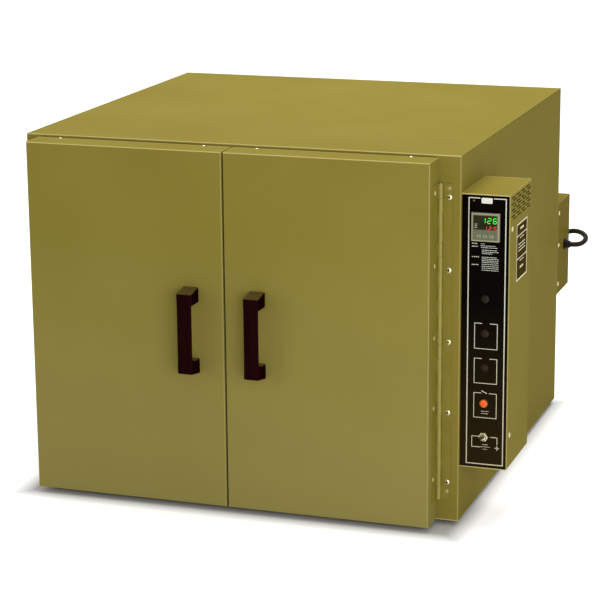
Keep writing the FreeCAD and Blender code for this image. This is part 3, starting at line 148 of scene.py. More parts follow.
def grid_piece(name, grid, sharp=35.0):
    """A closed piece from points in rows along it and columns round it.

    Four neighbours make a face, the last column joins the first, and each end row closes on its own
    mean point. A grid with one more axis in front holds several equal pieces."""
    grid = np.asarray(grid, float)
    grid = grid.reshape(-1, *grid.shape[-3:])
    copies, rows, columns = grid.shape[:3]
    index = np.arange(rows * columns).reshape(rows, columns)
    turned = np.roll(index, -1, axis=1)
    quads = np.stack([index[:-1], turned[:-1], turned[1:], index[1:]], axis=-1).reshape(-1, 4)
    start, end = rows * columns, rows * columns + 1
    first = np.stack([turned[0], index[0], np.full(columns, start)], axis=-1)
    last = np.stack([index[-1], turned[-1], np.full(columns, end)], axis=-1)
    fans = np.concatenate([first, last])
    points = np.concatenate([grid.reshape(copies, -1, 3), grid[:, 0].mean(1, keepdims=True),
                             grid[:, -1].mean(1, keepdims=True)], axis=1)
    steps = (np.arange(copies) * points.shape[1])[:, None, None]
    four = (quads[None] + steps).reshape(-1, 4)
    three = (fans[None] + steps).reshape(-1, 3)
    points = points.reshape(-1, 3)
    middle = points.mean(0)
    if solid_volume(points - middle, four) + solid_volume(points - middle, three) < 0:
        four, three = four[:, ::-1], three[:, ::-1]
    mesh = bpy.data.meshes.new(name)
    mesh.from_pydata(points.tolist(), [], four.tolist() + three.tolist())
    mesh.polygons.foreach_set("use_smooth", np.ones(len(mesh.polygons), bool))
    mesh.set_sharp_from_angle(angle=math.radians(sharp))
    return into_scene(name, mesh)


def round_angles(columns, start=0.0):
    """Equal angles once round, without the last that repeats the first."""
    return start + np.linspace(0, 2 * np.pi, columns, endpoint=False)


def finer(places, parts=4):
    """A row of places with each gap cut into equal parts: straight lines between neighbours."""
    gaps = len(places) - 1
    return np.interp(np.linspace(0, gaps, parts * gaps + 1), np.arange(gaps + 1), places)


def points_of(mesh):
    """A mesh's points as rows of three numbers."""
    numbers = np.zeros(len(mesh.vertices) * 3)
    mesh.vertices.foreach_get("co", numbers)
    return numbers.reshape(-1, 3)


# %% [markdown]
# ## Finishes
# Paint, rolled steel and moulded plastic differ in three things: how far their colour wanders, how evenly
# they shine, and what their skin is like under a fingertip. One recipe covers most of them with three
# noises for those three things, in real sizes. A few finishes then add a pattern of their own.

# %% Colours, nodes and places
def tint(red, green, blue):
    """A screen colour of 0 to 255 as the linear numbers that the shader works with."""
    share = np.array([red, green, blue]) / 255
    linear = np.where(share <= 0.04045, share / 12.92, ((share + 0.055) / 1.055) ** 2.4)
    return (*linear.tolist(), 1.0)


def add_node(tree, kind, **inputs):
    """A shader node with its inputs set by name, with _ for a space."""
    node = tree.nodes.new(kind)
    for name, number in inputs.items():
        node.inputs[name.replace("_", " ")].default_value = number
    return node


def surface_place(tree, stretch=(1, 1, 1)):
    """The piece's own coordinates in metres, drawn out along an axis whose stretch is below 1."""
    place = tree.nodes.new("ShaderNodeTexCoord")
    mapping = add_node(tree, "ShaderNodeMapping", Scale=stretch)
    tree.links.new(place.outputs["Object"], mapping.inputs["Vector"])
    return mapping.outputs["Vector"]


def coordinate(tree, axis, place=None):
    """One number of a place, X, Y or Z: the piece's own place, unless another vector is given."""
    apart = tree.nodes.new("ShaderNodeSeparateXYZ")
    tree.links.new(surface_place(tree) if place is None else place, apart.inputs[0])
    return apart.outputs[axis]


# %% Noises, limits and mixtures
def noise(tree, place, scale, detail=2.0, rough=0.5):
    """Cloudy noise with this many features in a metre."""
    node = add_node(tree, "ShaderNodeTexNoise", Scale=scale, Detail=detail, Roughness=rough)
    tree.links.new(place, node.inputs["Vector"])
    return node.outputs["Fac"]


def between(tree, factor, low, high, start=0.3, end=0.7):
    """A number that goes from low to high while the factor goes from start to end, and stops there."""
    node = add_node(tree, "ShaderNodeMapRange", From_Min=start, From_Max=end, To_Min=low, To_Max=high)
    tree.links.new(factor, node.inputs["Value"])
    return node.outputs["Result"]


def two_tones(tree, factor, first, second):
    """A colour that follows a factor from the first tone, or another colour's output, to the second."""
    node = tree.nodes.new("ShaderNodeMix")
    node.data_type = "RGBA"
    tree.links.new(factor, node.inputs["Factor"])
    for socket, tone in ((node.inputs[6], first), (node.inputs[7], second)):
        if isinstance(tone, tuple):
            socket.default_value = tone
        else:
            tree.links.new(tone, socket)
    return node.outputs[2]


def skin(tree, factor, depth, before=None):
    """A bump this many millimetres deep from a noise, on top of another bump where one is given."""
    node = add_node(tree, "ShaderNodeBump", Strength=1.0, Distance=depth * MM)
    tree.links.new(factor, node.inputs["Height"])
    if before is not None:
        tree.links.new(before, node.inputs["Normal"])
    return node.outputs["Normal"]


# %% The common recipe
def shader_of(material):
    """A material's node tree and the shader in it."""
    return material.node_tree, material.node_tree.nodes["Principled BSDF"]


def finish(name, dark, light, patch=6.0, rough=(0.4, 0.5), grain=400.0, depth=0.02, stretch=(1, 1, 1),
           **sockets):
    """A material from three noises: two tones by patches, a range of gloss, and a grain that stands up.

    patch and grain are features in a metre and depth is in millimetres. Other sockets of the shader are
    set by name, with _ for a space."""
    material = bpy.data.materials.new(name)
    material.use_nodes = True
    tree, shader = shader_of(material)
    for socket, number in sockets.items():
        shader.inputs[socket.replace("_", " ")].default_value = number
    place = surface_place(tree, stretch)
    patches = between(tree, noise(tree, place, patch, 3.0), 0.0, 1.0)
    tree.links.new(two_tones(tree, patches, dark, light), shader.inputs["Base Color"])
    gloss = noise(tree, place, patch * 4, 4.0)
    tree.links.new(between(tree, gloss, *rough), shader.inputs["Roughness"])
    fine = noise(tree, place, grain)
    tree.links.new(skin(tree, fine, depth), shader.inputs["Normal"])
    return material


def recolour(material, tone, share):
    """The colour goes over to another tone by the number that share, a function, makes in the tree."""
    tree, shader = shader_of(material)
    base = shader.inputs["Base Color"]
    tree.links.new(two_tones(tree, share(tree), base.links[0].from_socket, tone), base)
    return material


# %% Giving a finish to a node or a new piece
def dress(material, *names):
    """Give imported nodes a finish."""
    for name in names:
        node = nodes[name]
        node.data.materials.clear()
        node.data.materials.append(material)
    print(material.name, "on", ", ".join(names))


def settle(piece, material, slot, body, *replaced):
    """Finish a new piece, tie it to its body, hide the parts that it replaces and print where it rides."""
    piece.data.materials.append(material)
    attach(piece, body)
    if replaced:
        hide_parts(*replaced)
    print(piece.name, "in", material.name, "rides on", body)
    return piece


# %% [markdown]
# ## The cord
# A bench oven has a stiff three-core lead of about two metres. It leaves a strain relief in the end of
# the rear cover, swings out in one loop that shows beside the box, drops behind the oven and lies on the
# bench. What isn't seen is wound into a neat coil. A smooth curve through a few control points bends as
# rubber does, where runs joined by arcs would look like bent wire.

# %% The cord's line
ROUTE = [
    (800.4, 824.6, 308), (811, 824.6, 308), (820.5, 829.5, 309.5), (826, 839.5, 312.5), (826.5, 852, 316),
    (822, 865, 319.5), (812, 877, 322), (798, 886.5, 323), (780, 893, 319), (764, 898, 306),
    (752, 902, 284), (743, 905, 254), (735, 906, 212), (731, 906, 165), (731, 907, 125), (733, 908, 86),
    (730, 911, 44), (716, 914, 13), (686, 914, -5), (645, 911, -5), (602, 906, -5), (560, 905, -5),
]
COIL_CENTRE = (560.0, 845.0)
COIL_TURNS = 4
INNER_RING = 50.0
PLUG_END = (492, 907, 3)
TAIL = [(526, 911, 4), PLUG_END]
CORD_RADIUS = 5.0


def coil_points(per_turn=14):
    """The coil's control points: a circle whose radius steps in and out by a cord's width, and whose
    height steps up by one when the inner ring of the lower layer is full. The curve runs inside its
    control points, so they stand outside the circle by the half turn's cosine."""
    turn = np.arange(1, COIL_TURNS * per_turn + 1) / per_turn
    ring = np.interp(turn, [0.87, 1.0, 2.62, 2.76, 3.62, 3.76], [1, 0, 0, 1, 1, 2])
    layer = np.interp(turn, [1.76, 1.92], [-1, 1])
    outer = (INNER_RING + 2 * CORD_RADIUS * ring) / math.cos(math.pi / per_turn)
    angle = np.pi / 2 + 2 * np.pi * turn
    return np.stack([COIL_CENTRE[0] + outer * np.cos(angle), COIL_CENTRE[1] + outer * np.sin(angle),
                     CORD_RADIUS * layer], axis=-1)


def smooth_line(name, points):
    """A curve of one open spline that bends towards its control points and meets the two end ones."""
    curve = bpy.data.curves.new(name, "CURVE")
    curve.dimensions = "3D"
    spline = curve.splines.new("NURBS")
    spline.points.add(len(points) - 1)
    spline.points.foreach_set("co", np.c_[points, np.ones(len(points))].ravel())
    spline.order_u = 3
    spline.use_endpoint_u = True
    curve.resolution_u = 8
    return into_scene(name, curve)


cord = smooth_line("mains_cord", at(*np.concatenate([ROUTE, coil_points(), TAIL]).T))
line_points = points_of(bpy.data.meshes.new_from_object(cord))
cord.data.bevel_depth = CORD_RADIUS * MM
cord.data.bevel_resolution = 5
cord.data.use_fill_caps = True

# %% [markdown]
# The jacket is extruded rubber: nearly black, dusty where it has been handled, with a very fine skin.

# %% The cord's rubber
jacket = finish("cord jacket", tint(26, 24, 12), tint(42, 38, 20), 40, (0.55, 0.7), 2500, 0.02,
                Specular_IOR_Level=0.12)
settle(cord, jacket, "cord_rubber", "cabinet", "power_cord", "cord_coil")

# %% [markdown]
# ## Plug and strain relief
# The plug is one moulding that swells from the cord to a flat body with a finger grip. Its outline is a
# rounded box whose width and height change along it, so a row of superellipses describes it whole. Its
# blades are the same rounded box, nearly square, and its earth pin is a lathe's shape.

# %% The plug's body
PLUG_LENGTH = 46


def superellipse(angle, half_width, half_height, power):
    """A rounded box: cosine and sine, each drawn out towards the corners by an even power's root."""
    cosine, sine = np.cos(angle), np.sin(angle)
    size = (np.abs(cosine) ** power + np.abs(sine) ** power) ** (-1 / power)
    return half_width * size * cosine, half_height * size * sine


def on_plug(along, wide, tall):
    """Places from the distance along the plug and the two distances from its middle line."""
    return at(PLUG_END[0] - along, PLUG_END[1] + wide, PLUG_END[2] + tall)


plug_along = np.array([0, 0.6, 5, 9, 14, 18, 22, 26, 30, 35, 41, 44, 45.4, PLUG_LENGTH])
plug_half_width = np.array([6.2, 7.2, 7.4, 7.8, 9.6, 12.6, 14.6, 13.8, 13.9, 15.8, 17, 17, 16.4, 15])
plug_half_height = np.array([6.2, 7.2, 7.4, 7.6, 8.6, 10.2, 11.2, 11.0, 11.1, 12, 13, 13, 12.4, 11])
along = finer(plug_along)[:, None]
plug_power = np.interp(plug_along, [0, 9, 20, PLUG_LENGTH], [2, 2.2, 3.4, 4])
wide, tall = superellipse(round_angles(56)[None, :], finer(plug_half_width)[:, None],
                          finer(plug_half_height)[:, None], finer(plug_power)[:, None])
finger_ribs = 1 - 0.035 * (np.sin(along * 1.9) > 0.2) * (along > 24) * (along < 38)
moulding = finish("plug moulding", tint(24, 23, 18), tint(36, 34, 26), 60, (0.4, 0.54), 1800, 0.02,
                  Specular_IOR_Level=0.2)
plug_body = settle(grid_piece("plug_body", on_plug(along, wide * finger_ribs, tall)), moulding,
                   "cord_rubber", "cabinet", "plug")

# %% The plug's blades and earth pin
BLADE_SHEET, BLADE_WIDTH, BLADE_PITCH, EARTH_DROP = 1.5, 6.4, 12.7, 8.5

blade_along = np.array([-1, 14, 16.6, 17.6, 18.0])[:, None]
blade_shrink = np.array([1, 1, 0.93, 0.8, 0.55])[:, None]
once_round = round_angles(24)[None, :]
wide, tall = superellipse(once_round, BLADE_SHEET / 2 * blade_shrink, BLADE_WIDTH / 2 * blade_shrink, 6)
blades = [on_plug(PLUG_LENGTH + blade_along, side * BLADE_PITCH / 2 + wide, tall) for side in (-1, 1)]
pin_along = np.array([-1, 17, 19.2, 20.5, 21.0])[:, None]
pin_radius = np.array([2.4, 2.4, 2.1, 1.3, 0.5])[:, None]
earth = on_plug(PLUG_LENGTH + pin_along, pin_radius * np.cos(once_round),
                pin_radius * np.sin(once_round) - EARTH_DROP)
contacts = finish("plated contact", tint(190, 180, 150), tint(212, 204, 180), 90, (0.22, 0.36), 900, 0.01,
                  Metallic=1.0)
plug_pins = settle(grid_piece("plug_pins", np.stack([*blades, earth])), contacts, "screw_nickel", "cabinet")

# %% [markdown]
# The strain relief is a six-sided nut with a ribbed, tapering boot, and a thin locknut inside the cover.
# A lathe's formula gives it when its radius also depends on the angle: over the nut the radius is the
# hexagon's, cut down to the chamfer's circle near both of its ends.

# %% The strain relief
NUT_RADIUS, NUT_THICK, NECK_RADIUS, LOCKNUT_RADIUS = 11, 3.9, 7.4, 10.6

boot_along = np.concatenate([[-6.4, -6.2, -1.7, -1.5, -1.4, 0, 0.1, 0.5, 3.4, 3.8, NUT_THICK],
                             np.linspace(4.2, 12.6, 36), [13]])[:, None]
boot_radius = np.interp(boot_along, [NUT_THICK, 12.6, 13], [9.0, 6.8, 6.3])
ribbed = (boot_along > 5) & (boot_along < 11.8)
boot_radius = boot_radius - np.where(ribbed & (np.sin(boot_along * 3.6) < 0), 0.5, 0)
boot_angle = round_angles(48)[None, :]
from_flat = np.abs((boot_angle + np.pi / 6) % (np.pi / 3) - np.pi / 6)
hexagon = NUT_RADIUS * math.cos(math.pi / 6) / np.cos(from_flat)
chamfer = np.interp(boot_along, [0, 0.5, 3.4, 3.8], [10.2, 11.2, 11.2, 10.2])
radius = np.select([boot_along < -1.45, boot_along < 0.05, boot_along < 3.85],
                   [np.minimum(hexagon, LOCKNUT_RADIUS), NECK_RADIUS,
                    np.minimum(hexagon, chamfer)], boot_radius)
boot_grid = at(right_side + boot_along, ROUTE[0][1] + radius * np.cos(boot_angle),
               ROUTE[0][2] + radius * np.sin(boot_angle))
nylon = finish("black nylon", tint(16, 12, 12), tint(26, 20, 18), 80, (0.42, 0.56), 1500, 0.02,
               Specular_IOR_Level=0.12)
settle(grid_piece("strain_relief", boot_grid), nylon, "grip_plastic", "cabinet", "cord_grip")

# %% [markdown]
# A soft strap holds the coil's turns together. It is a flat band carried round the bundle's section, with
# both of its edges turned in a little.

# %% The coil's strap
STRAP_TURN = 3.6
BUNDLE_RING = 55
BENCH, STRAP_TOP = -9.9, 11
HALF_BUNDLE = (12.0, 10.4)

strap_angle = round_angles(40)[None, :]
strap_out, strap_up = superellipse(strap_angle, *HALF_BUNDLE, 3.2)
strap_edge = np.array([-6, -5.6, 5.6, 6])[:, None]
strap_lift = np.array([-0.9, 0, 0, -0.9])[:, None]
outward = (math.cos(STRAP_TURN), math.sin(STRAP_TURN))
reach = BUNDLE_RING + strap_out + strap_lift * np.cos(strap_angle)
rise = np.clip(strap_up + strap_lift * np.sin(strap_angle), BENCH, STRAP_TOP)
strap_grid = at(COIL_CENTRE[0] + reach * outward[0] - strap_edge * outward[1],
                COIL_CENTRE[1] + reach * outward[1] + strap_edge * outward[0], rise)
strap_band = finish("woven strap", tint(30, 30, 30), tint(52, 50, 48), 300, (0.75, 0.9), 1400, 0.12)
strap = settle(grid_piece("coil_strap", strap_grid), strap_band, "cord_rubber", "cabinet")
tuple(at(*ROUTE[0]))

# %% [markdown]
# ## Casing enamel
# The sheet metal is sprayed with a satin olive tan enamel. Close up it has a faint orange peel and its gloss
# varies a little from panel to panel. The pale lines along the bends are painted highlights, where the folded
# edges catch the light. The sheets make up boxes, and a point's distance from the nearest edge of its box is
# found from its place alone, so the model needs no paint map.

# %% How near an edge is
def sheet_box(*names):
    """The lowest and highest corner of some nodes, in their own coordinates."""
    points = np.concatenate([points_of(nodes[name].data) for name in names])
    return points.min(0), points.max(0)


def arithmetic(tree, operation, first, second=None, kind="ShaderNodeMath"):
    """One sum of two values, each a number, a place or another node's output."""
    node = tree.nodes.new(kind)
    node.operation = operation
    for socket, number in zip(node.inputs, (first, second)):
        if isinstance(number, bpy.types.NodeSocket):
            tree.links.new(number, socket)
        elif number is not None:
            socket.default_value = number
    return node.outputs[0]


def inwards(tree, low, high):
    """How far a point lies in from a box's sides: half the box's size less the distance from its middle."""
    vector = "ShaderNodeVectorMath"
    offset = arithmetic(tree, "SUBTRACT", surface_place(tree), ((low + high) / 2).tolist(), vector)
    distance = arithmetic(tree, "ABSOLUTE", offset, kind=vector)
    depth = arithmetic(tree, "SUBTRACT", ((high - low) / 2).tolist(), distance, vector)
    return [coordinate(tree, axis, depth) for axis in "XYZ"]


def edge_mask(tree, low, high, shares, solid=0.7, gone=2.2):
    """The paleness of a box's edges, which the enamels use as painted highlights. A point's three distances
    from the box's sides tell how far an edge is: one along X is as near as the larger of the distances in Y
    and Z. shares is how pale the edges along X, Y and Z are made, each on its own."""
    x, y, z = inwards(tree, low, high)
    pale = 0.0
    for share, (first, second) in zip(shares, ((y, z), (x, z), (x, y))):
        line = between(tree, arithmetic(tree, "MAXIMUM", first, second), share, 0.0, solid * MM, gone * MM)
        pale = arithmetic(tree, "MAXIMUM", pale, line)
    return pale


# %% The casing's enamel
# FOLD_HIGHLIGHT is the colour of the painted highlight along the folded edges
OLIVE, PALE_OLIVE, FOLD_HIGHLIGHT = tint(137, 124, 52), tint(142, 129, 58), tint(224, 208, 142)


def enamel(name, dark, light, shares, *sheets):
    """Satin spray enamel: slow drift of tone, orange peel of about a millimetre, and a painted highlight
    along the edges of the box that its sheets make up."""
    material = finish(name, dark, light, 5, (0.5, 0.6), 620, 0.018, Specular_IOR_Level=0.0,
                      Coat_Weight=0.035, Coat_Roughness=0.3)
    low, high = sheet_box(*sheets)
    # painted highlight on the edges of the sheets' box
    recolour(material, FOLD_HIGHLIGHT, lambda tree: edge_mask(tree, low, high, shares))
    dress(material, *sheets)
    return material


enamel("casing enamel", OLIVE, PALE_OLIVE, (0.7, 0.05, 0.35), "side_panel_left", "side_panel_right",
       "top_cover", "base_pan", "back_panel", "front_frame")
enamel("rear cover enamel", tint(122, 108, 38), tint(128, 114, 43), (0.2, 0.1, 0.1), "rear_cover")
print("casing", [np.round(corner, 3).tolist() for corner in sheet_box("top_cover", "base_pan")])

# %% [markdown]
# What shows of the control box's inside, through its vent slots, is painted dark as painted shade. Inside
# means deeper than the sheet is thick. The doors are painted a little paler towards their foot, as painted
# light from the pale floor, so their colour follows the height too.

# %% The box's painted shade and the doors' painted floor light
BOX_SHEET = 0.75
FLOOR_LIGHT_RISE = 0.5


def box_inside_shade(tree):
    """Where the box gets its painted shade: 0 in its outer skin and 1 inside it, by the least of the three
    distances from its sides.
    """
    x, y, z = inwards(tree, *sheet_box("control_box_cover"))
    buried = arithmetic(tree, "MINIMUM", x, arithmetic(tree, "MINIMUM", y, z))
    return between(tree, buried, 0.0, 1.0, BOX_SHEET * MM, (BOX_SHEET + 0.2) * MM)


def toned_downwards(material, lower_tone, low, high, most=1.0):
    """Downwards the colour goes over to another tone: none of it above high, and the most of it below low."""
    return recolour(material, lower_tone, lambda tree: between(tree, coordinate(tree, "Z"), most, 0.0, low, high))


box_enamel = enamel("box enamel", OLIVE, PALE_OLIVE, (0.7, 0.2, 0.35), "control_box_cover")
# painted shade: the box's inside is painted dark behind the vent slots
recolour(box_enamel, tint(30, 25, 8), box_inside_shade)
for side in ("left", "right"):
    door_enamel = enamel(side + " door enamel", OLIVE, PALE_OLIVE, (0.7, 0.1, 0.4), side + "_door_skin")
    door_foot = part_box(side + "_door_skin")[0].z
    # painted light: each door goes paler towards its foot, as if lit by the pale floor
    toned_downwards(door_enamel, tint(154, 144, 88), door_foot, door_foot + FLOOR_LIGHT_RISE, 0.55)

# %% [markdown]
# The hinges are sprayed with the casing, and the round barrel carries a painted highlight. It is strongest on
# the barrel's middle line and ends where the flat leaves begin.

# %% The hinges' enamel, with a painted highlight on the barrel
BARREL_LINE = FACE - 5.9 * MM


def barrel_highlight(tree):
    """The painted highlight on the barrel, by the distance in depth from its middle line."""
    offset = arithmetic(tree, "ABSOLUTE", arithmetic(tree, "SUBTRACT", coordinate(tree, "Y"), BARREL_LINE))
    return between(tree, offset, 0.4, 0.0, 2.2 * MM, 3.1 * MM)


hinge_enamel = finish("hinge enamel", tint(132, 120, 44), tint(140, 128, 52), 30, (0.42, 0.54), 700, 0.02,
                      Specular_IOR_Level=0.0, Coat_Weight=0.2, Coat_Roughness=0.2)
# painted highlight along the barrel
recolour(hinge_enamel, tint(200, 186, 112), barrel_highlight)
dress(hinge_enamel, "left_hinge_frame_leaf", "left_hinge_door_leaf", "right_hinge_frame_leaf",
      "right_hinge_door_leaf")

# %% [markdown]
# ## Metals inside
# The chamber is lined with stainless sheet whose fine lines run along the sheet, the ducts are aluminised
# steel with a faint spangle, the shelves are bright plated wire, and the heater's sheath is dark with
# oxide. Drawing the noise out along one axis gives rolled lines, and a cell pattern gives the spangle.

# %% Stainless and aluminised sheet
def spangle(tree):
    """The coating's crystals: brighter the farther a point is from the middle of its cell."""
    cells = add_node(tree, "ShaderNodeTexVoronoi", Scale=140.0)
    tree.links.new(surface_place(tree), cells.inputs["Vector"])
    return between(tree, cells.outputs["Distance"], 0.0, 0.4, 0.0, 0.8)


dress(finish("brushed stainless", tint(150, 150, 146), tint(178, 177, 172), 60, (0.26, 0.4), 900, 0.006,
             (0.04, 1, 1), Metallic=1.0),
      "chamber_liner", "left_door_liner", "right_door_liner")
duct_sheet = finish("aluminised sheet", tint(150, 150, 148), tint(172, 171, 168), 30, (0.36, 0.5), 700, 0.008,
                    Metallic=1.0)
dress(recolour(duct_sheet, tint(196, 196, 194), spangle),
      "duct_panel_left", "duct_panel_right", "rear_baffle", "shelf_runners", "vent_tube")

# %% Wheel, wire, pins, heater and motor
dress(finish("galvanised steel", tint(140, 142, 142), tint(170, 171, 169), 90, (0.34, 0.5), 600, 0.01,
             Metallic=1.0),
      "blower_wheel", "vent_disc")
dress(finish("plated wire", tint(196, 196, 192), tint(216, 215, 210), 50, (0.14, 0.26), 1500, 0.004,
             Metallic=1.0),
      "shelf_lower", "shelf_upper")
dress(finish("turned steel", tint(165, 163, 158), tint(190, 188, 182), 60, (0.22, 0.34), 1800, 0.006,
             (1, 0.1, 1), Metallic=1.0),
      "motor_shaft", "temperature_probe", "left_hinge_pin", "right_hinge_pin")
dress(finish("oxidised sheath", tint(52, 44, 40), tint(84, 70, 62), 45, (0.5, 0.7), 1200, 0.03, Metallic=0.6),
      "heater_element")
dress(finish("motor enamel", tint(20, 20, 21), tint(34, 34, 35), 25, (0.35, 0.5), 500, 0.04), "blower_motor")

# %% [markdown]
# ## Soft and moulded things
# Mineral wool is a tangle of fibres, the door seals are a woven sleeve filled with fibre, the feet are
# moulded rubber and the magnets sit in plastic cases. Their grain is coarser and their gloss is low.

# %% Wool, seals, rubber
dress(finish("mineral wool", tint(148, 132, 84), tint(196, 180, 124), 90, (0.85, 0.98), 700, 0.9, (1, 1, 3.5),
             Sheen_Weight=0.3),
      "insulation_slabs", "left_door_insulation", "right_door_insulation")
seal_sleeve = finish("seal sleeve", tint(150, 146, 134), tint(182, 177, 163), 80, (0.7, 0.85), 900, 0.05)
tree, shader = shader_of(seal_sleeve)
weave = add_node(tree, "ShaderNodeTexWave", Scale=180.0, Distortion=0.6)
weave.bands_direction = "DIAGONAL"
tree.links.new(surface_place(tree), weave.inputs["Vector"])
fibres = shader.inputs["Normal"].links[0].from_socket
tree.links.new(skin(tree, weave.outputs["Fac"], 0.3, fibres), shader.inputs["Normal"])
dress(seal_sleeve, "left_door_gasket", "right_door_gasket")
dress(finish("foot rubber", tint(26, 26, 26), tint(42, 41, 40), 60, (0.6, 0.78), 1200, 0.05), "feet")
dress(finish("seam rubber", tint(84, 68, 20), tint(98, 80, 26), 60, (0.7, 0.85), 1200, 0.03,
             Specular_IOR_Level=0.1), "seam_seal")
dress(finish("magnet case", tint(30, 30, 31), tint(44, 44, 45), 90, (0.4, 0.55), 1400, 0.02), "catch_magnets")

# %% [markdown]
# ## The pulls
# Each door has a bridge pull moulded in a dark brown phenolic plastic: two square legs and a straight bar,
# all of one width, with edges that a mould maker rounds to about two millimetres. Each of its sections
# runs from a point of the outer outline to a point of the inner one. So two lists of matching points and
# a rounded rectangle describe it all.

# %% The pull's surface
PULL_OUTER = np.array([(-76.5, 0.2), (-76.3, 1.5), (-75.2, 8), (-72.7, 22), (-71.5, 29.5), (-71.1, 32.2),
                       (-70.3, 33.6), (-68.8, 34.2), (-64, 34.2), (-58, 34.2), (-50, 34.2), (-40, 34.2)])
PULL_INNER = np.array([(-49.5, 0.2), (-49.5, 1.5), (-49.5, 6), (-49.4, 14), (-49.0, 17.4), (-48.5, 18.6),
                       (-47.6, 19.6), (-46.6, 20.3), (-45.5, 20.8), (-44, 21.1), (-42, 21.2), (-40, 21.2)])
PULL_TAPER = np.array([0, 0, 0, 0.05, 0.12, 0.18, 0.26, 0.34, 0.4, 0.42, 0.42, 0.42])
PULL_WIDTH, PULL_CORNER = 28.0, 2.2


def rounded_rectangle(columns, half_width, half_height, corner):
    """A rectangle with round corners: a circle cut in four, with its quarters pushed apart."""
    angle = round_angles(columns, np.pi / columns)[None, :]
    corner = np.minimum(corner, np.minimum(half_width, half_height) * 0.98)
    x = np.sign(np.cos(angle)) * (half_width - corner) + corner * np.cos(angle)
    y = np.sign(np.sin(angle)) * (half_height - corner) + corner * np.sin(angle)
    return x, y


def pull(name, centre, door_front, height):
    """Sections between matching points of the two outlines, the upper half a mirror of the lower one.
    Along the bar the sides lean in towards the door, so its rear is the slimmer for the fingers. The last
    step shades the large flat faces as flat, with the turn of the light only in the rounds."""
    mirror = np.array([-1, 1])
    outer = np.concatenate([PULL_OUTER, PULL_OUTER[::-1] * mirror])
    inner = np.concatenate([PULL_INNER, PULL_INNER[::-1] * mirror])
    middle, span = (outer + inner) / 2, (outer - inner) / 2
    reach = np.linalg.norm(span, axis=1, keepdims=True)
    wide, deep = rounded_rectangle(48, PULL_WIDTH / 2, reach, PULL_CORNER)
    taper = np.concatenate([PULL_TAPER, PULL_TAPER[::-1]])[:, None]
    wide = wide * (1 - taper * (reach - deep) / (2 * reach))
    side = span / reach
    up = middle[:, :1] + deep * side[:, :1]
    forward = middle[:, 1:] + deep * side[:, 1:]
    piece = grid_piece(name, at(centre + wide, door_front - forward, height + up), 40)
    piece.modifiers.new("even flats", "WEIGHTED_NORMAL").keep_sharp = True
    return piece


# %% [markdown]
# The resin is almost black with a red brown warmth, and the red brown streaks that run along the bar are
# painted reflections. Its gloss shows only at a slant, and the faces that look up are painted an olive brown
# as a painted reflection from above.

# %% The pulls in their resin
# the streaks along the bar are painted reflections
phenolic = finish("phenolic pull", tint(14, 1, 2), tint(34, 7, 8), 60, (0.4, 0.5), 300, 0.012,
                  (1, 1, 0.08), Specular_IOR_Level=0.0, Coat_Roughness=0.14, Coat_IOR=1.6)
tree, shader = shader_of(phenolic)
slant = tree.nodes.new("ShaderNodeLayerWeight")
tree.links.new(between(tree, slant.outputs["Facing"], 0.01, 0.9, 0.68, 0.86), shader.inputs["Coat Weight"])


def upward_reflection(tree):
    """How far a face looks up, from the Z of its direction, which sets its painted reflection."""
    direction = tree.nodes.new("ShaderNodeNewGeometry").outputs["Normal"]
    return between(tree, coordinate(tree, "Z", direction), 0.0, 1.0, 0.5, 0.95)


# painted reflection on the faces that look up
recolour(phenolic, tint(96, 82, 40), upward_reflection)
door_front = node_box("left_door_skin")[0][1]
for side in ("left", "right"):
    across, _, up = node_middle(side + "_door_handle")
    settle(pull(side + "_pull", across, door_front, up), phenolic, "handle_plastic", side + "_door",
           side + "_door_handle")

# %% [markdown]
# ## Screws
# Domed heads with a cross recess hold the hinges, the rear cover and the box. The dome is a lathe's
# surface whose height drops wherever a point lies inside either bar of the cross. One grid is computed
# once and copied to every place, because all the heads come from one bag.

# %% Turned parts and where they go
AXES = {
    "front": ((1, 0, 0), (0, 0, 1), (0, -1, 0)),
    "right": ((0, 1, 0), (0, 0, 1), (1, 0, 0)),
    "left": ((0, -1, 0), (0, 0, 1), (-1, 0, 0)),
    "top": ((1, 0, 0), (0, 1, 0), (0, 0, 1)),
}


def aimed(local, facing, places):
    """Copies of a local grid, in millimetres with its height outwards, one at each place of the ruler."""
    turned = np.asarray(local) @ np.array(AXES[facing], float) * MM
    origins = at(*np.array(places, float).reshape(-1, 3).T)
    return origins[:, None, None, :] + turned[None]


def turned_part(radii, heights, columns=48):
    """A lathe's surface: each radius carried once round at its height."""
    angle = round_angles(columns)[None, :]
    radius = np.asarray(radii, float)[:, None]
    height = np.broadcast_to(np.asarray(heights, float)[:, None], (len(radii), columns))
    return np.stack([radius * np.cos(angle), radius * np.sin(angle), height], axis=-1)


# %% A domed head with its cross
def cross_slot(grid, radius):
    """1 inside two crossing bars and 0 outside, with a slope between, from the distances to the middle."""
    x, y = np.abs(grid[..., 0]) / radius, np.abs(grid[..., 1]) / radius
    return np.clip((0.22 - np.minimum(x, y)) / 0.07, 0, 1) * np.clip((0.62 - np.maximum(x, y)) / 0.12, 0, 1)


def screw_head(radius, height, cross=True, rings=15, columns=40):
    """Height of a flattened dome over each ring, less the cross that the driver fits."""
    share = np.concatenate([np.linspace(0.04, 0.96, rings), [1.0, 1.0, 0.9]])
    dome = np.concatenate([height * (1 - (share[:rings] / 1.06) ** 2.6), [height * 0.22, -0.15, -0.15]])
    grid = turned_part(share * radius, dome, columns)
    if cross:
        grid[..., 2] -= cross_slot(grid, radius) * height * 0.7
    return grid


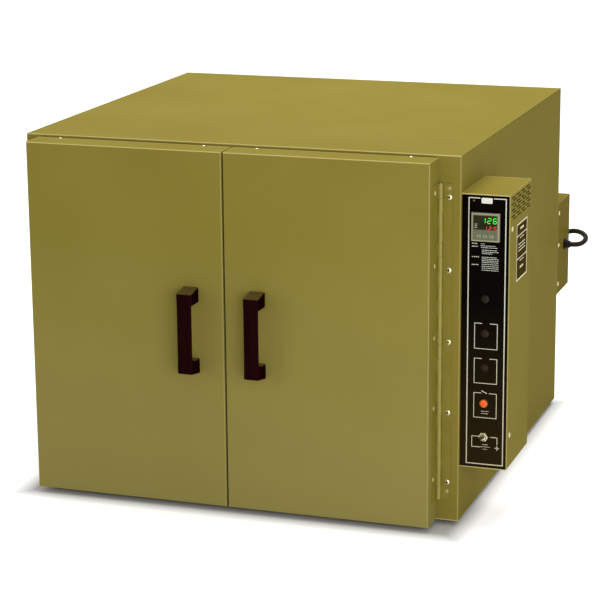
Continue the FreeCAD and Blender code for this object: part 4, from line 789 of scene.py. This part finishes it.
def heads(name, radius, height, *groups):
    """A head's grid copied to every place of each group, which is a facing and its places. The share of the
    cross is kept at each point, then at the two points that close the grid, for the finish to read."""
    local = screw_head(radius, height)
    grids = np.concatenate([aimed(local, facing, places) for facing, places in groups])
    piece = grid_piece(name, grids, 60)
    shares = np.tile(np.append(cross_slot(local, radius), [1.0, 0.0]), len(grids))
    piece.data.attributes.new("recess", "FLOAT", "POINT").data.foreach_set("value", shares)
    return piece


# %% [markdown]
# The heads are nickel plated, and those of the doors are sprayed. The cross is painted darker, as painted
# shade. Each point of a head keeps the number that says how far it is in the cross, and the finish reads that
# number.

# %% Nickel and paint with painted shade in the cross
def recess(tree):
    """The share of the cross that is kept at each point, which sets the painted shade."""
    kept = tree.nodes.new("ShaderNodeAttribute")
    kept.attribute_name = "recess"
    return kept.outputs["Fac"]


# painted shade in the cross of each head
nickel = recolour(finish("nickel plate", tint(208, 199, 156), tint(226, 218, 180), 120, (0.2, 0.34), 1600,
                         0.008, Metallic=0.9), tint(52, 44, 30), recess)
painted_head = recolour(finish("painted head", tint(196, 184, 126), tint(210, 200, 144), 120, (0.4, 0.5),
                               1600, 0.01, Specular_IOR_Level=0.1, Coat_Weight=0.3),
                        tint(132, 118, 62), recess)

# %% Heads in the hinges
BIG_HEAD, END_HEAD = (4.6, 1.9), (3.0, 1.3)
LEAF_FRONT = -1.5
PIN_TO_SCREWS = {"right": 14.4, "left": -9.4}
HINGE_FOOT, HINGE_LENGTH = 38.8, 550
FIRST_SCREW, SCREW_STEP = 0.055, 0.2255
END_UPS = (580, 52.8)

screw_lines = [node_middle(side + "_hinge_pin")[0] + offset for side, offset in PIN_TO_SCREWS.items()]
hinge_ups = HINGE_FOOT + HINGE_LENGTH * (FIRST_SCREW + SCREW_STEP * np.arange(5))
big = [(across, LEAF_FRONT, up) for across in screw_lines for up in hinge_ups]
small = [(across, LEAF_FRONT, up) for across in screw_lines for up in END_UPS]
settle(heads("hinge_screw_heads", *BIG_HEAD, ("front", big)), nickel, "screw_nickel", "cabinet",
       "hinge_screws")
settle(heads("hinge_end_screws", *END_HEAD, ("front", small)), painted_head, "screw_nickel", "cabinet")

# %% Heads in the rear cover and the box
COVER_FOOT, COVER_HEIGHT, COVER_LINE = 217, 186, 771
BOX_SCREWS = ((19, 513.7), (21, 156.3))

cover_ups = COVER_FOOT + COVER_HEIGHT * np.array([0.11, 0.54, 0.89])
on_right = [(right_side, COVER_LINE, up) for up in cover_ups] + [(box_right, *place) for place in BOX_SCREWS]
on_left = [(0, COVER_LINE, up) for up in cover_ups]
settle(heads("cover_screw_heads", *BIG_HEAD, ("right", on_right), ("left", on_left)), nickel,
       "screw_nickel", "cabinet", "cover_screws")

# %% [markdown]
# Small heads run along the tops of the doors, where the pan of the door is fixed to its skin, and larger
# ones hold the hinge's leaf to the door's edge. The larger ones are sprayed with the door.

# %% Heads on the doors
TOP_HEAD, LEAF_HEAD = (3.0, 1.1), (3.8, 1.3)
LEAF_THICK = 1.5
TOP_LINE, LEAF_LINE = -5, -27
TOP_ACROSS = {"left": (66.5, 335.1), "right": (431.6, 702.9)}
LEAF_UPS = (575.7, 452.5, 328.9, 206.1, 80.1)

door_edges = {"left": node_box("left_door_skin")[0][0] - LEAF_THICK,
              "right": node_box("right_door_skin")[1][0] + LEAF_THICK}
door_top = node_box("right_door_skin")[1][2]
for side, edge in door_edges.items():
    on_top = [(across, TOP_LINE, door_top) for across in TOP_ACROSS[side]]
    on_leaf = [(edge, LEAF_LINE, up) for up in LEAF_UPS]
    settle(heads(side + "_door_top_screws", *TOP_HEAD, ("top", on_top)), nickel, "screw_nickel",
           side + "_door")
    settle(heads(side + "_leaf_screws", *LEAF_HEAD, (side, on_leaf)), painted_head, "hinge_paint",
           side + "_door")

# %% [markdown]
# ## The instrument panel
# The panel is black anodised sheet, set back in the box. Its pale lines are printed: a border, a frame
# round each lamp place, and a bracket that leads to the toggle. A print is a ribbon of ink a tenth of a
# millimetre thick, so a flat ribbon carried along a path of corners, with mitred joints, draws them all.

# %% Ribbons of ink
def ribbon(path, width, thick=0.12, closed=False):
    """A flat band along corners in the panel's plane: each corner moves out and in along its mitre."""
    path = np.array(path, float)
    before = path - np.roll(path, 1, axis=0)
    after = np.roll(path, -1, axis=0) - path
    if not closed:
        before[0], after[-1] = after[0], before[-1]
    before /= np.linalg.norm(before, axis=1, keepdims=True)
    after /= np.linalg.norm(after, axis=1, keepdims=True)
    normal = np.stack([-(before + after)[:, 1], (before + after)[:, 0]], axis=1)
    normal /= np.linalg.norm(normal, axis=1, keepdims=True)
    flat = np.stack([-after[:, 1], after[:, 0]], axis=1)
    mitre = normal * (width / 2 / np.maximum(np.einsum("ij,ij->i", normal, flat), 0.3))[:, None]
    inner, outer = path - mitre, path + mitre
    low, high = np.zeros(len(path)), np.full(len(path), thick)
    return np.stack([np.c_[inner, low], np.c_[inner, high], np.c_[outer, high], np.c_[outer, low]], axis=1)


def facing_plane(local, facing, level):
    """Points with their first two numbers on the ruler and their height off a plane, as whole arrays."""
    if facing == "front":
        return at(local[..., 0], level - local[..., 2], local[..., 1])
    return at(level + local[..., 2], local[..., 0], local[..., 1])


def bars(name, rows, facing, level, thick=0.12):
    """Straight printed bars from their start, end and width: each is a ribbon of two corners."""
    grids = [facing_plane(ribbon(((x0, z0), (x1, z1)), width, thick), facing, level)
             for x0, z0, x1, z1, width in rows]
    return grid_piece(name, np.stack(grids))


def loop(name, corners, width, facing, level, thick=0.12):
    """A closed printed frame: its ribbon ends where it began, so its last row meets its first."""
    band = ribbon(corners, width, thick, closed=True)
    return grid_piece(name, facing_plane(np.concatenate([band, band[:1]]), facing, level))


def frame_corners(x0, x1, z0, z1):
    """The four corners of a rectangle."""
    return [(x0, z0), (x1, z0), (x1, z1), (x0, z1)]


PLATE_THICK = 0.3


def thin_plate(middle, half_width, half_height, power, columns, facing, level):
    """A plate with round corners: a superellipse carried up by its thickness and drawn in on top."""
    shrink = np.array([1.0, 1.0, 0.97])[:, None]
    once_round = round_angles(columns)[None, :]
    across, up = superellipse(once_round, half_width * shrink, half_height * shrink, power)
    thick = np.array([0.0, PLATE_THICK, PLATE_THICK])[:, None] + 0 * across
    return facing_plane(np.stack([middle[0] + across, middle[1] + up, thick], axis=-1), facing, level)


# %% [markdown]
# The black goes over to a warm brown towards the foot, and the pale ink to a yellower tone with it.

# %% The panel's black and its border
PLATE_MIDDLE = (829.6, 561.0)
BORDER_LEFT, BORDER_RIGHT, BORDER_FOOT, BORDER_TOP = 799, 862, 104.6, 565
BORDER_BREAK = 11.4

panel_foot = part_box("control_panel")[0].z
foot_band = (panel_foot + 0.03, panel_foot + 0.29)
ink = finish("pale ink", tint(212, 214, 196), tint(222, 225, 208), 200, (0.5, 0.62), 2500, 0.01)
toned_downwards(ink, tint(210, 202, 168), *foot_band)
black = finish("anodised black", tint(5, 3, 3), tint(9, 6, 5), 9, (0.5, 0.6), 1800, 0.012,
               Specular_IOR_Level=0.0, Coat_Weight=0.02, Coat_Roughness=0.3)
dress(toned_downwards(black, tint(40, 30, 13), *foot_band), "control_panel")


def printed(piece, material=ink):
    """A print or a thin plate on the cabinet."""
    return settle(piece, material, "panel_black", "cabinet")


def open_frame(x0, x1, z0, z1, gap, middle=None):
    """A frame with a gap in its top: from the gap down one side, along the foot and up to the gap again."""
    middle = (x0 + x1) / 2 if middle is None else middle
    return [(middle - gap, z1), (x0, z1), (x0, z0), (x1, z0), (x1, z1), (middle + gap, z1)]


border = open_frame(BORDER_LEFT, BORDER_RIGHT, BORDER_FOOT, BORDER_TOP, BORDER_BREAK, PLATE_MIDDLE[0])
printed(grid_piece("panel_border", facing_plane(ribbon(border, 1.7), "front", panel_front)))

# %% Frames round the lamp places and the toggle's bracket
FRAME_SIDES, FRAME_GAP, FRAME_LINE = (811, 850), 6.7, 1.05
FRAME_ENDS = ((307.6, 351.6), (247.4, 290.6), (187.0, 230.2))
TOGGLE_UP = 153.4
BRACKET = [(825, TOGGLE_UP, 808.2, TOGGLE_UP, 1.2), (808.2, 154.0, 808.2, 134.0, 1.2),
           (808.2, 134.6, 822.5, 134.6, 1.2), (840, TOGGLE_UP, 852.1, TOGGLE_UP, 1.2),
           (852.1, 154.0, 852.1, 140.6, 1.2)]
BRACKET_CROSS = [(848.4, 134.8, 855.8, 134.8, 1.4), (852.1, 131.1, 852.1, 138.5, 1.4)]
LAMP_TICK = (823.8, 234.6, 833.5, 229.9, 1.3)

open_frames = [ribbon(open_frame(*FRAME_SIDES, *ends, FRAME_GAP), FRAME_LINE) for ends in FRAME_ENDS]
printed(grid_piece("panel_frames", facing_plane(np.stack(open_frames), "front", panel_front)))
printed(bars("toggle_bracket", BRACKET + BRACKET_CROSS + [LAMP_TICK], "front", panel_front))

# %% [markdown]
# Instructions fill the space under the controller on the real panel. This part carries no words, so their
# place holds plain broken rules of the same weight, and the white plate at the top is bare.

# %% Rules in place of words
RULES = [(820, 826, 487.9), (820, 846, 484.6), (820, 853, 481.6), (822, 848, 477.4), (822, 859, 474.4),
         (822, 840, 471.6), (822, 847, 465.3), (822, 859, 462.4), (822, 852, 459.4), (822, 850, 456.6),
         (822, 851, 453.2), (822, 859, 449.8), (822, 853, 446.6), (822, 853, 443.2)]
LABELS = [(804.8, 814, 487.9), (804.8, 815, 483.0), (804.8, 817, 465.3), (804.8, 816, 452.0)]
CAPTIONS = [(824, 837, 198.4), (824, 836, 194.4), (826.5, 836, 139.4), (822.5, 840, 135.4), (827, 835, 131.4)]
DASH_LENGTHS = np.array([2.6, 4.4, 1.8, 3.6, 5.2, 2.2, 3.0])
SHORTEST_DASH = 0.8


def dashes(start, end, up, first, width, gap):
    """A rule broken into dashes: the lengths above in turn, from the one numbered first, with equal gaps."""
    lengths = np.roll(DASH_LENGTHS, -first)
    ends = start + np.cumsum(lengths + gap) - gap
    return [(x0, up, min(x1, end), up, width) for x0, x1 in zip(ends - lengths, ends)
            if x0 < end - SHORTEST_DASH]


rules = []
for rows, first, width, gap in ((RULES, 0, 0.95, 0.9), (LABELS, 3, 1.2, 0.9), (CAPTIONS, 1, 0.9, 0.7)):
    for number, (start, end, up) in enumerate(rows, first):
        rules += dashes(start, end, up, number, width, gap)
printed(bars("panel_rules", rules, "front", panel_front, 0.08))
print(len(rules), "dashes")

# %% The bare plate and the amber dot
AMBER_ACROSS, AMBER_UP = 807.3, 560.4

plate_white = finish("white plate", tint(226, 228, 214), tint(238, 239, 228), 150, (0.35, 0.45), 1500, 0.01)
plate_grid = thin_plate(PLATE_MIDDLE, 9.4, 4.8, 8, 48, "front", panel_front)
printed(grid_piece("bare_plate", plate_grid), plate_white)
amber = finish("amber dot", tint(96, 54, 22), tint(130, 74, 30), 300, (0.3, 0.4), 1500, 0.01)
amber_grid = aimed(screw_head(1.7, 0.6, False, 8, 24), "front", [(AMBER_ACROSS, panel_front, AMBER_UP)])
settle(grid_piece("amber_dot", amber_grid), amber, "lamp_lens", "cabinet")

# %% [markdown]
# ## The controller
# The controller is a square instrument in grey plastic with a dark window and a keypad below it. Behind
# the window two rows of lit segments show generic numbers, green for what the probe reads and red for
# what is set. A segment is a long hexagon, and each digit is a choice of seven.

# %% Lit digits
SEGMENTS = {"1": (1, 2), "2": (0, 1, 3, 4, 6), "5": (0, 2, 3, 5, 6), "6": (0, 2, 3, 4, 5, 6)}
SEGMENT_PLACES = np.array([(0.5, 2, 0), (1, 1.5, 1), (1, 0.5, 1), (0.5, 0, 0), (0, 0.5, 1), (0, 1.5, 1),
                           (0.5, 1, 0)])
DIGIT_SLANT = 0.08


def lit_digits(name, text, right_end, foot, width, height, pitch, stroke, level):
    """Each lit segment is a hexagon: its two long sides stop short of the ends, which come to a point."""
    hexagons = []
    for step, letter in enumerate(reversed(text)):
        for x, z, upright in SEGMENT_PLACES[list(SEGMENTS[letter])]:
            half = (height / 4 if upright else width / 2) - stroke * 0.22
            shoulder = 1 - stroke / 2 / half
            long = np.array([-1, -shoulder, shoulder, 1, shoulder, -shoulder]) * half
            short = np.array([0, 1, 1, 0, -1, -1]) * stroke / 2
            across, up = (short, long) if upright else (long, short)
            up = up + foot + z * height / 2
            across = across + right_end - width - step * pitch + x * width + (up - foot) * DIGIT_SLANT
            hexagons.append([np.c_[across, up, np.full(6, 0.0)], np.c_[across, up, np.full(6, 0.06)]])
    return grid_piece(name, facing_plane(np.array(hexagons), "front", level))


def lit(name, colour, strength):
    """A glowing segment: a coloured plastic that also sends out its own light."""
    return finish(name, colour, colour, 200, (0.4, 0.5), 1500, 0.005, Emission_Color=colour,
                  Emission_Strength=strength)


window_front = node_box("controller_window")[0][1]
upper = lit_digits("upper_digits", "126", right_end=847.4, foot=524.4, width=5.4, height=8.6, pitch=9.6,
                   stroke=1.15, level=window_front)
lower = lit_digits("lower_digits", "125", right_end=847.4, foot=512.4, width=4.4, height=6.4, pitch=8.4,
                   stroke=0.95, level=window_front)
settle(upper, lit("green digits", tint(44, 214, 40), 1.0), "window_plastic", "cabinet")
settle(lower, lit("red digits", tint(214, 44, 26), 0.9), "window_plastic", "cabinet")

# %% Case, window and keys
def case_rim(tree):
    """The paler band round the case's front edges."""
    return edge_mask(tree, *sheet_box("controller_case"), (1.0, 0.3, 1.0), 2.4, 2.9)


case_plastic = finish("case moulding", tint(104, 108, 82), tint(114, 117, 92), 120, (0.5, 0.6), 1600, 0.03,
                      Specular_IOR_Level=0.1)
dress(recolour(case_plastic, tint(158, 160, 128), case_rim), "controller_case")
dress(finish("display window", tint(34, 32, 14), tint(54, 52, 26), 40, (0.1, 0.16), 900, 0.003,
             Specular_IOR_Level=0.06), "controller_window")
dress(finish("keypad", tint(140, 146, 110), tint(152, 158, 122), 150, (0.6, 0.72), 1600, 0.03),
      "key_1", "key_2", "key_3")

# %% Marks in the window and on the keys
marks = [(810.6, up, 814.6, up, 0.8) for up in (522.2, 519.2, 516.2)]
settle(bars("window_marks", marks, "front", window_front, 0.05), ink, "window_plastic", "cabinet")
dark_ink = finish("dark ink", tint(40, 42, 34), tint(52, 54, 44), 200, (0.5, 0.6), 2500, 0.01)
for body, key, way in (("up_key", "key_1", 1), ("down_key", "key_2", -1), ("set_key", "key_3", 0)):
    across, _, up = node_middle(key)
    if way:
        corners = [(across - 1.5, up - way), (across + 1.5, up - way), (across, up + 1.3 * way)]
    else:
        corners = frame_corners(across - 1.3, across + 1.3, up - 1.0, up + 1.0)
    mark = loop(key + "_mark", corners, 0.5, "front", node_box(key)[0][1], 0.06)
    settle(mark, dark_ink, "key_rubber", body)

# %% [markdown]
# ## Pilot lamp and plugs
# The lens is a shallow dome of orange acrylic with flutes that run out from its middle and break up the
# light of the small lamp behind it. The spare holes wear plain domed plugs, which are the shape of a
# screw head without its cross.

# %% Lens
def fluted_dome(radius, height, flutes=18, rings=16, columns=108):
    """A dome whose height dips a little along each flute, more so towards the rim."""
    share = np.linspace(0.05, 1, rings)
    grid = turned_part(np.concatenate([share * radius, [radius]]),
                       np.concatenate([height * np.sqrt(np.clip(1.04 - share ** 2, 0, 1)), [-0.4]]), columns)
    dip = 0.06 * height * np.cos(flutes * round_angles(columns))[None, :] * share[:, None] ** 1.5
    grid[:rings, :, 2] += dip
    return grid


BEZEL_REACH, LENS_RADIUS, LENS_HEIGHT = 3.1, 6.7, 2.9
lens_place = (panel_middle, panel_front - BEZEL_REACH, node_middle("pilot_lens")[2])
lens_grid = aimed(fluted_dome(LENS_RADIUS, LENS_HEIGHT), "front", [lens_place])
lens = finish("orange acrylic", tint(208, 72, 12), tint(236, 118, 34), 420, (0.16, 0.24), 900, 0.01,
              Transmission_Weight=0.1, Specular_IOR_Level=0.25, Emission_Color=tint(236, 92, 14),
              Emission_Strength=0.18)
settle(grid_piece("lamp_lens", lens_grid, 20), lens, "lamp_lens", "cabinet", "pilot_lens")
dress(finish("lamp bezel", tint(70, 60, 40), tint(96, 84, 58), 120, (0.3, 0.42), 1500, 0.01, Metallic=0.5),
      "pilot_bezel")

# %% Domed plugs
TOP_PLUG, PLUG_PITCH = 393.7, 59.7
PLUG_RADIUS, PLUG_HEIGHT = 6.8, 2.4
plug_places = [(panel_middle, panel_front, TOP_PLUG - PLUG_PITCH * number) for number in range(3)]
plug_grids = aimed(screw_head(PLUG_RADIUS, PLUG_HEIGHT, False, 18, 48), "front", plug_places)
plug_dome = finish("hole plug", tint(28, 19, 12), tint(42, 30, 18), 120, (0.36, 0.48), 1200, 0.015,
                   Specular_IOR_Level=0.1)
settle(grid_piece("plug_domes", plug_grids, 40), plug_dome, "plug_plastic", "cabinet", "panel_plugs")

# %% [markdown]
# ## The toggle
# The toggle's bush is cut with a fine thread, which is a lathe's surface whose radius rises and falls with
# the angle and the height together. Its lever is a plated bat on a ball, in a dark olive tone.

# %% The threaded bush
THREAD_ROOT, THREAD_DEPTH, THREAD_PITCH = 5.83, 0.42, 0.8
BUSH_FOOT, BUSH_END, BUSH_BORE = 2.6, 7.0, 4.7

per_turn = 36
bush_height = np.linspace(BUSH_FOOT, BUSH_END, 45)[:, None]
bush_angle = round_angles(per_turn)[None, :]
wave = (bush_height / THREAD_PITCH - bush_angle / (2 * np.pi)) % 1.0
run_out = np.clip((BUSH_END + 0.1 - bush_height) / 0.4, 0, 1)
bush_radius = THREAD_ROOT + THREAD_DEPTH * (1 - np.abs(2 * wave - 1)) * run_out
bush = np.stack([bush_radius * np.cos(bush_angle), bush_radius * np.sin(bush_angle),
                 bush_height + 0 * bush_radius], axis=-1)
bore_end, bore_foot = turned_part([BUSH_BORE, BUSH_BORE], [BUSH_END, BUSH_FOOT], per_turn)[:, None]
bush_wall = aimed(np.concatenate([bore_foot, bush, bore_end]), "front",
                  [(panel_middle, panel_front, TOGGLE_UP)])
settle(grid_piece("toggle_thread", bush_wall, 60), nickel, "bright_steel", "cabinet")
dress(nickel, "toggle_switch_body")

# %% The lever
BALL_DEPTH = 4
TOGGLE_TILT = math.radians(12)
bat_heights = np.array([-4.2, -3.9, -3.0, -1.5, 0, 1.8, 3.2, 4.0, 6, 9, 12, 14.6, 16.0, 16.7, 17.0])
bat_radii = np.array([0.5, 1.5, 2.95, 3.9, 4.2, 3.8, 2.7, 2.2, 2.3, 2.6, 2.95, 3.15, 2.8, 1.8, 0.6])

across, up, out = np.moveaxis(turned_part(finer(bat_radii), finer(bat_heights), 32), -1, 0)
tilted = np.stack([across, up * math.cos(TOGGLE_TILT) + out * math.sin(TOGGLE_TILT),
                   out * math.cos(TOGGLE_TILT) - up * math.sin(TOGGLE_TILT)], axis=-1)
lever_steel = finish("dark lever steel", tint(50, 45, 24), tint(70, 63, 38), 120, (0.3, 0.42), 1600, 0.008,
                     Metallic=0.9)
bat_grid = aimed(tilted, "front", [(panel_middle, panel_front - BALL_DEPTH, TOGGLE_UP)])
settle(grid_piece("toggle_bat", bat_grid, 60), lever_steel, "bright_steel", "power_toggle", "toggle_lever")

# %% [markdown]
# ## The ruled plate on the box
# A thin dark plate with pale ruled cells is riveted to the box's side. Its words are left off, so it
# shows only its border and its rules.

# %% Data plate
DATA_MIDDLE = (90, 464.5)
DATA_HALF = (38.0, 49.5)
DATA_BORDER = (53.6, 126.4, 416.6, 512.4)
DATA_ROWS = ((54, 126, 1.7, (492.0, 452.6)), (66, 113, 1.5, (476.5, 471.0, 465.5)),
             (76, 104, 1.4, (486.4, 447.2)), (78, 102, 3.4, (502.5,)), (78, 102, 3.0, (435.5,)))

plate_dark = finish("dark plate", tint(64, 52, 14), tint(78, 64, 20), 60, (0.6, 0.7), 1500, 0.01,
                    Specular_IOR_Level=0.0)
plate_ink = finish("plate ink", tint(240, 234, 196), tint(250, 246, 214), 200, (0.6, 0.7), 2500, 0.01,
                   Specular_IOR_Level=0.0)
data_grid = thin_plate(DATA_MIDDLE, *DATA_HALF, 24, 64, "right", box_right)
printed(grid_piece("data_plate", data_grid), plate_dark)
data_front = box_right + PLATE_THICK
printed(loop("plate_border", frame_corners(*DATA_BORDER), 2.6, "right", data_front), plate_ink)
data_rules = [(start, up, end, up, width) for start, end, width, ups in DATA_ROWS for up in ups]
printed(bars("plate_rules", data_rules, "right", data_front, 0.1), plate_ink)

# %% [markdown]
# ## Floor and light
# The oven stands on a plain pale floor with nothing behind it. The floor looks white to the camera and still
# keeps the oven's shadow: rays that are seen directly meet a glow, which is weaker close to the oven and
# stops at its outline, so the dark under the oven is partly painted shadow. The light that spreads from the
# floor stays what the lamps give.

# %% Floor
FLOOR_REACH = 20
FLOOR_GLOW = 0.64


def seen_directly(tree):
    """1 for rays that the camera, a mirror or glass sends out, and 0 for the light that spreads."""
    rays = tree.nodes.new("ShaderNodeLightPath")
    seen = arithmetic(tree, "MAXIMUM", rays.outputs["Is Camera Ray"], rays.outputs["Is Glossy Ray"])
    return arithmetic(tree, "MAXIMUM", seen, rays.outputs["Is Transmission Ray"])


def glow_with_painted_shadow(tree):
    """None under the oven, which paints its shadow there, a first step at its outline, and a slow rise from
    0.3 to 2 metres off.
    """
    low = np.array([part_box("side_panel_left")[0].x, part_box("left_door_skin")[0].y, 0])
    high = np.array([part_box("side_panel_right")[1].x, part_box("back_panel")[1].y, 0])
    x, y, _ = inwards(tree, low, high)
    outside = arithmetic(tree, "MULTIPLY", arithmetic(tree, "MINIMUM", x, y), -1.0)
    # no glow inside the oven's outline: painted shadow under it
    return arithmetic(tree, "MULTIPLY", between(tree, outside, 0.0, FLOOR_GLOW, -0.01, 0.03),
                      between(tree, outside, 1.0, 1.35, 0.3, 2.0))


floor_corners = frame_corners(-FLOOR_REACH, FLOOR_REACH, -FLOOR_REACH, FLOOR_REACH)
floor_mesh = bpy.data.meshes.new("floor")
floor_mesh.from_pydata([(x, y, 0) for x, y in floor_corners], [], [(0, 1, 2, 3)])
floor = into_scene("floor", floor_mesh)
floor_finish = finish("pale floor", tint(216, 216, 214), tint(220, 220, 219), 2, (0.8, 0.9), 60, 0.01,
                      Specular_IOR_Level=0.0, Emission_Color=(1, 1, 1, 1))
tree, shader = shader_of(floor_finish)
tree.links.new(arithmetic(tree, "MULTIPLY", seen_directly(tree), glow_with_painted_shadow(tree)),
               shader.inputs["Emission Strength"])
floor_mesh.materials.append(floor_finish)

# %% [markdown]
# The world is white where the camera sees it and gives the oven less than half of that. A large soft lamp
# overhead lights the top most, one low on the right shows the fronts, and a weak one low on the left keeps
# the shaded edges readable.

# %% World and lamps
WORLD_SHARE = 0.45
AIM = Vector((0.0, 0.0, 0.3))

world = bpy.data.worlds.new("studio")
world.use_nodes = True
bpy.context.scene.world = world
tree = world.node_tree
back = tree.nodes["Background"]
back.inputs["Color"].default_value = (1, 1, 1, 1)
tree.links.new(between(tree, seen_directly(tree), WORLD_SHARE, 1.0, 0.0, 1.0), back.inputs["Strength"])


def soft_lamp(name, place, size, power):
    """A square area lamp at a place, turned to look at the oven."""
    data = bpy.data.lights.new(name, "AREA")
    data.size = size
    data.energy = power
    turn = (AIM - Vector(place)).to_track_quat("-Z", "Y").to_matrix().to_4x4()
    into_scene(name, data).matrix_world = Matrix.Translation(place) @ turn
    print(name, "lamp", power, "watts")


soft_lamp("key", (1.4, -2.1, 0.6), size=1.4, power=21)
soft_lamp("left", (-1.9, -1.9, 0.7), size=0.9, power=7)
soft_lamp("overhead", (0.2, 0.5, 3.4), size=2.6, power=92)
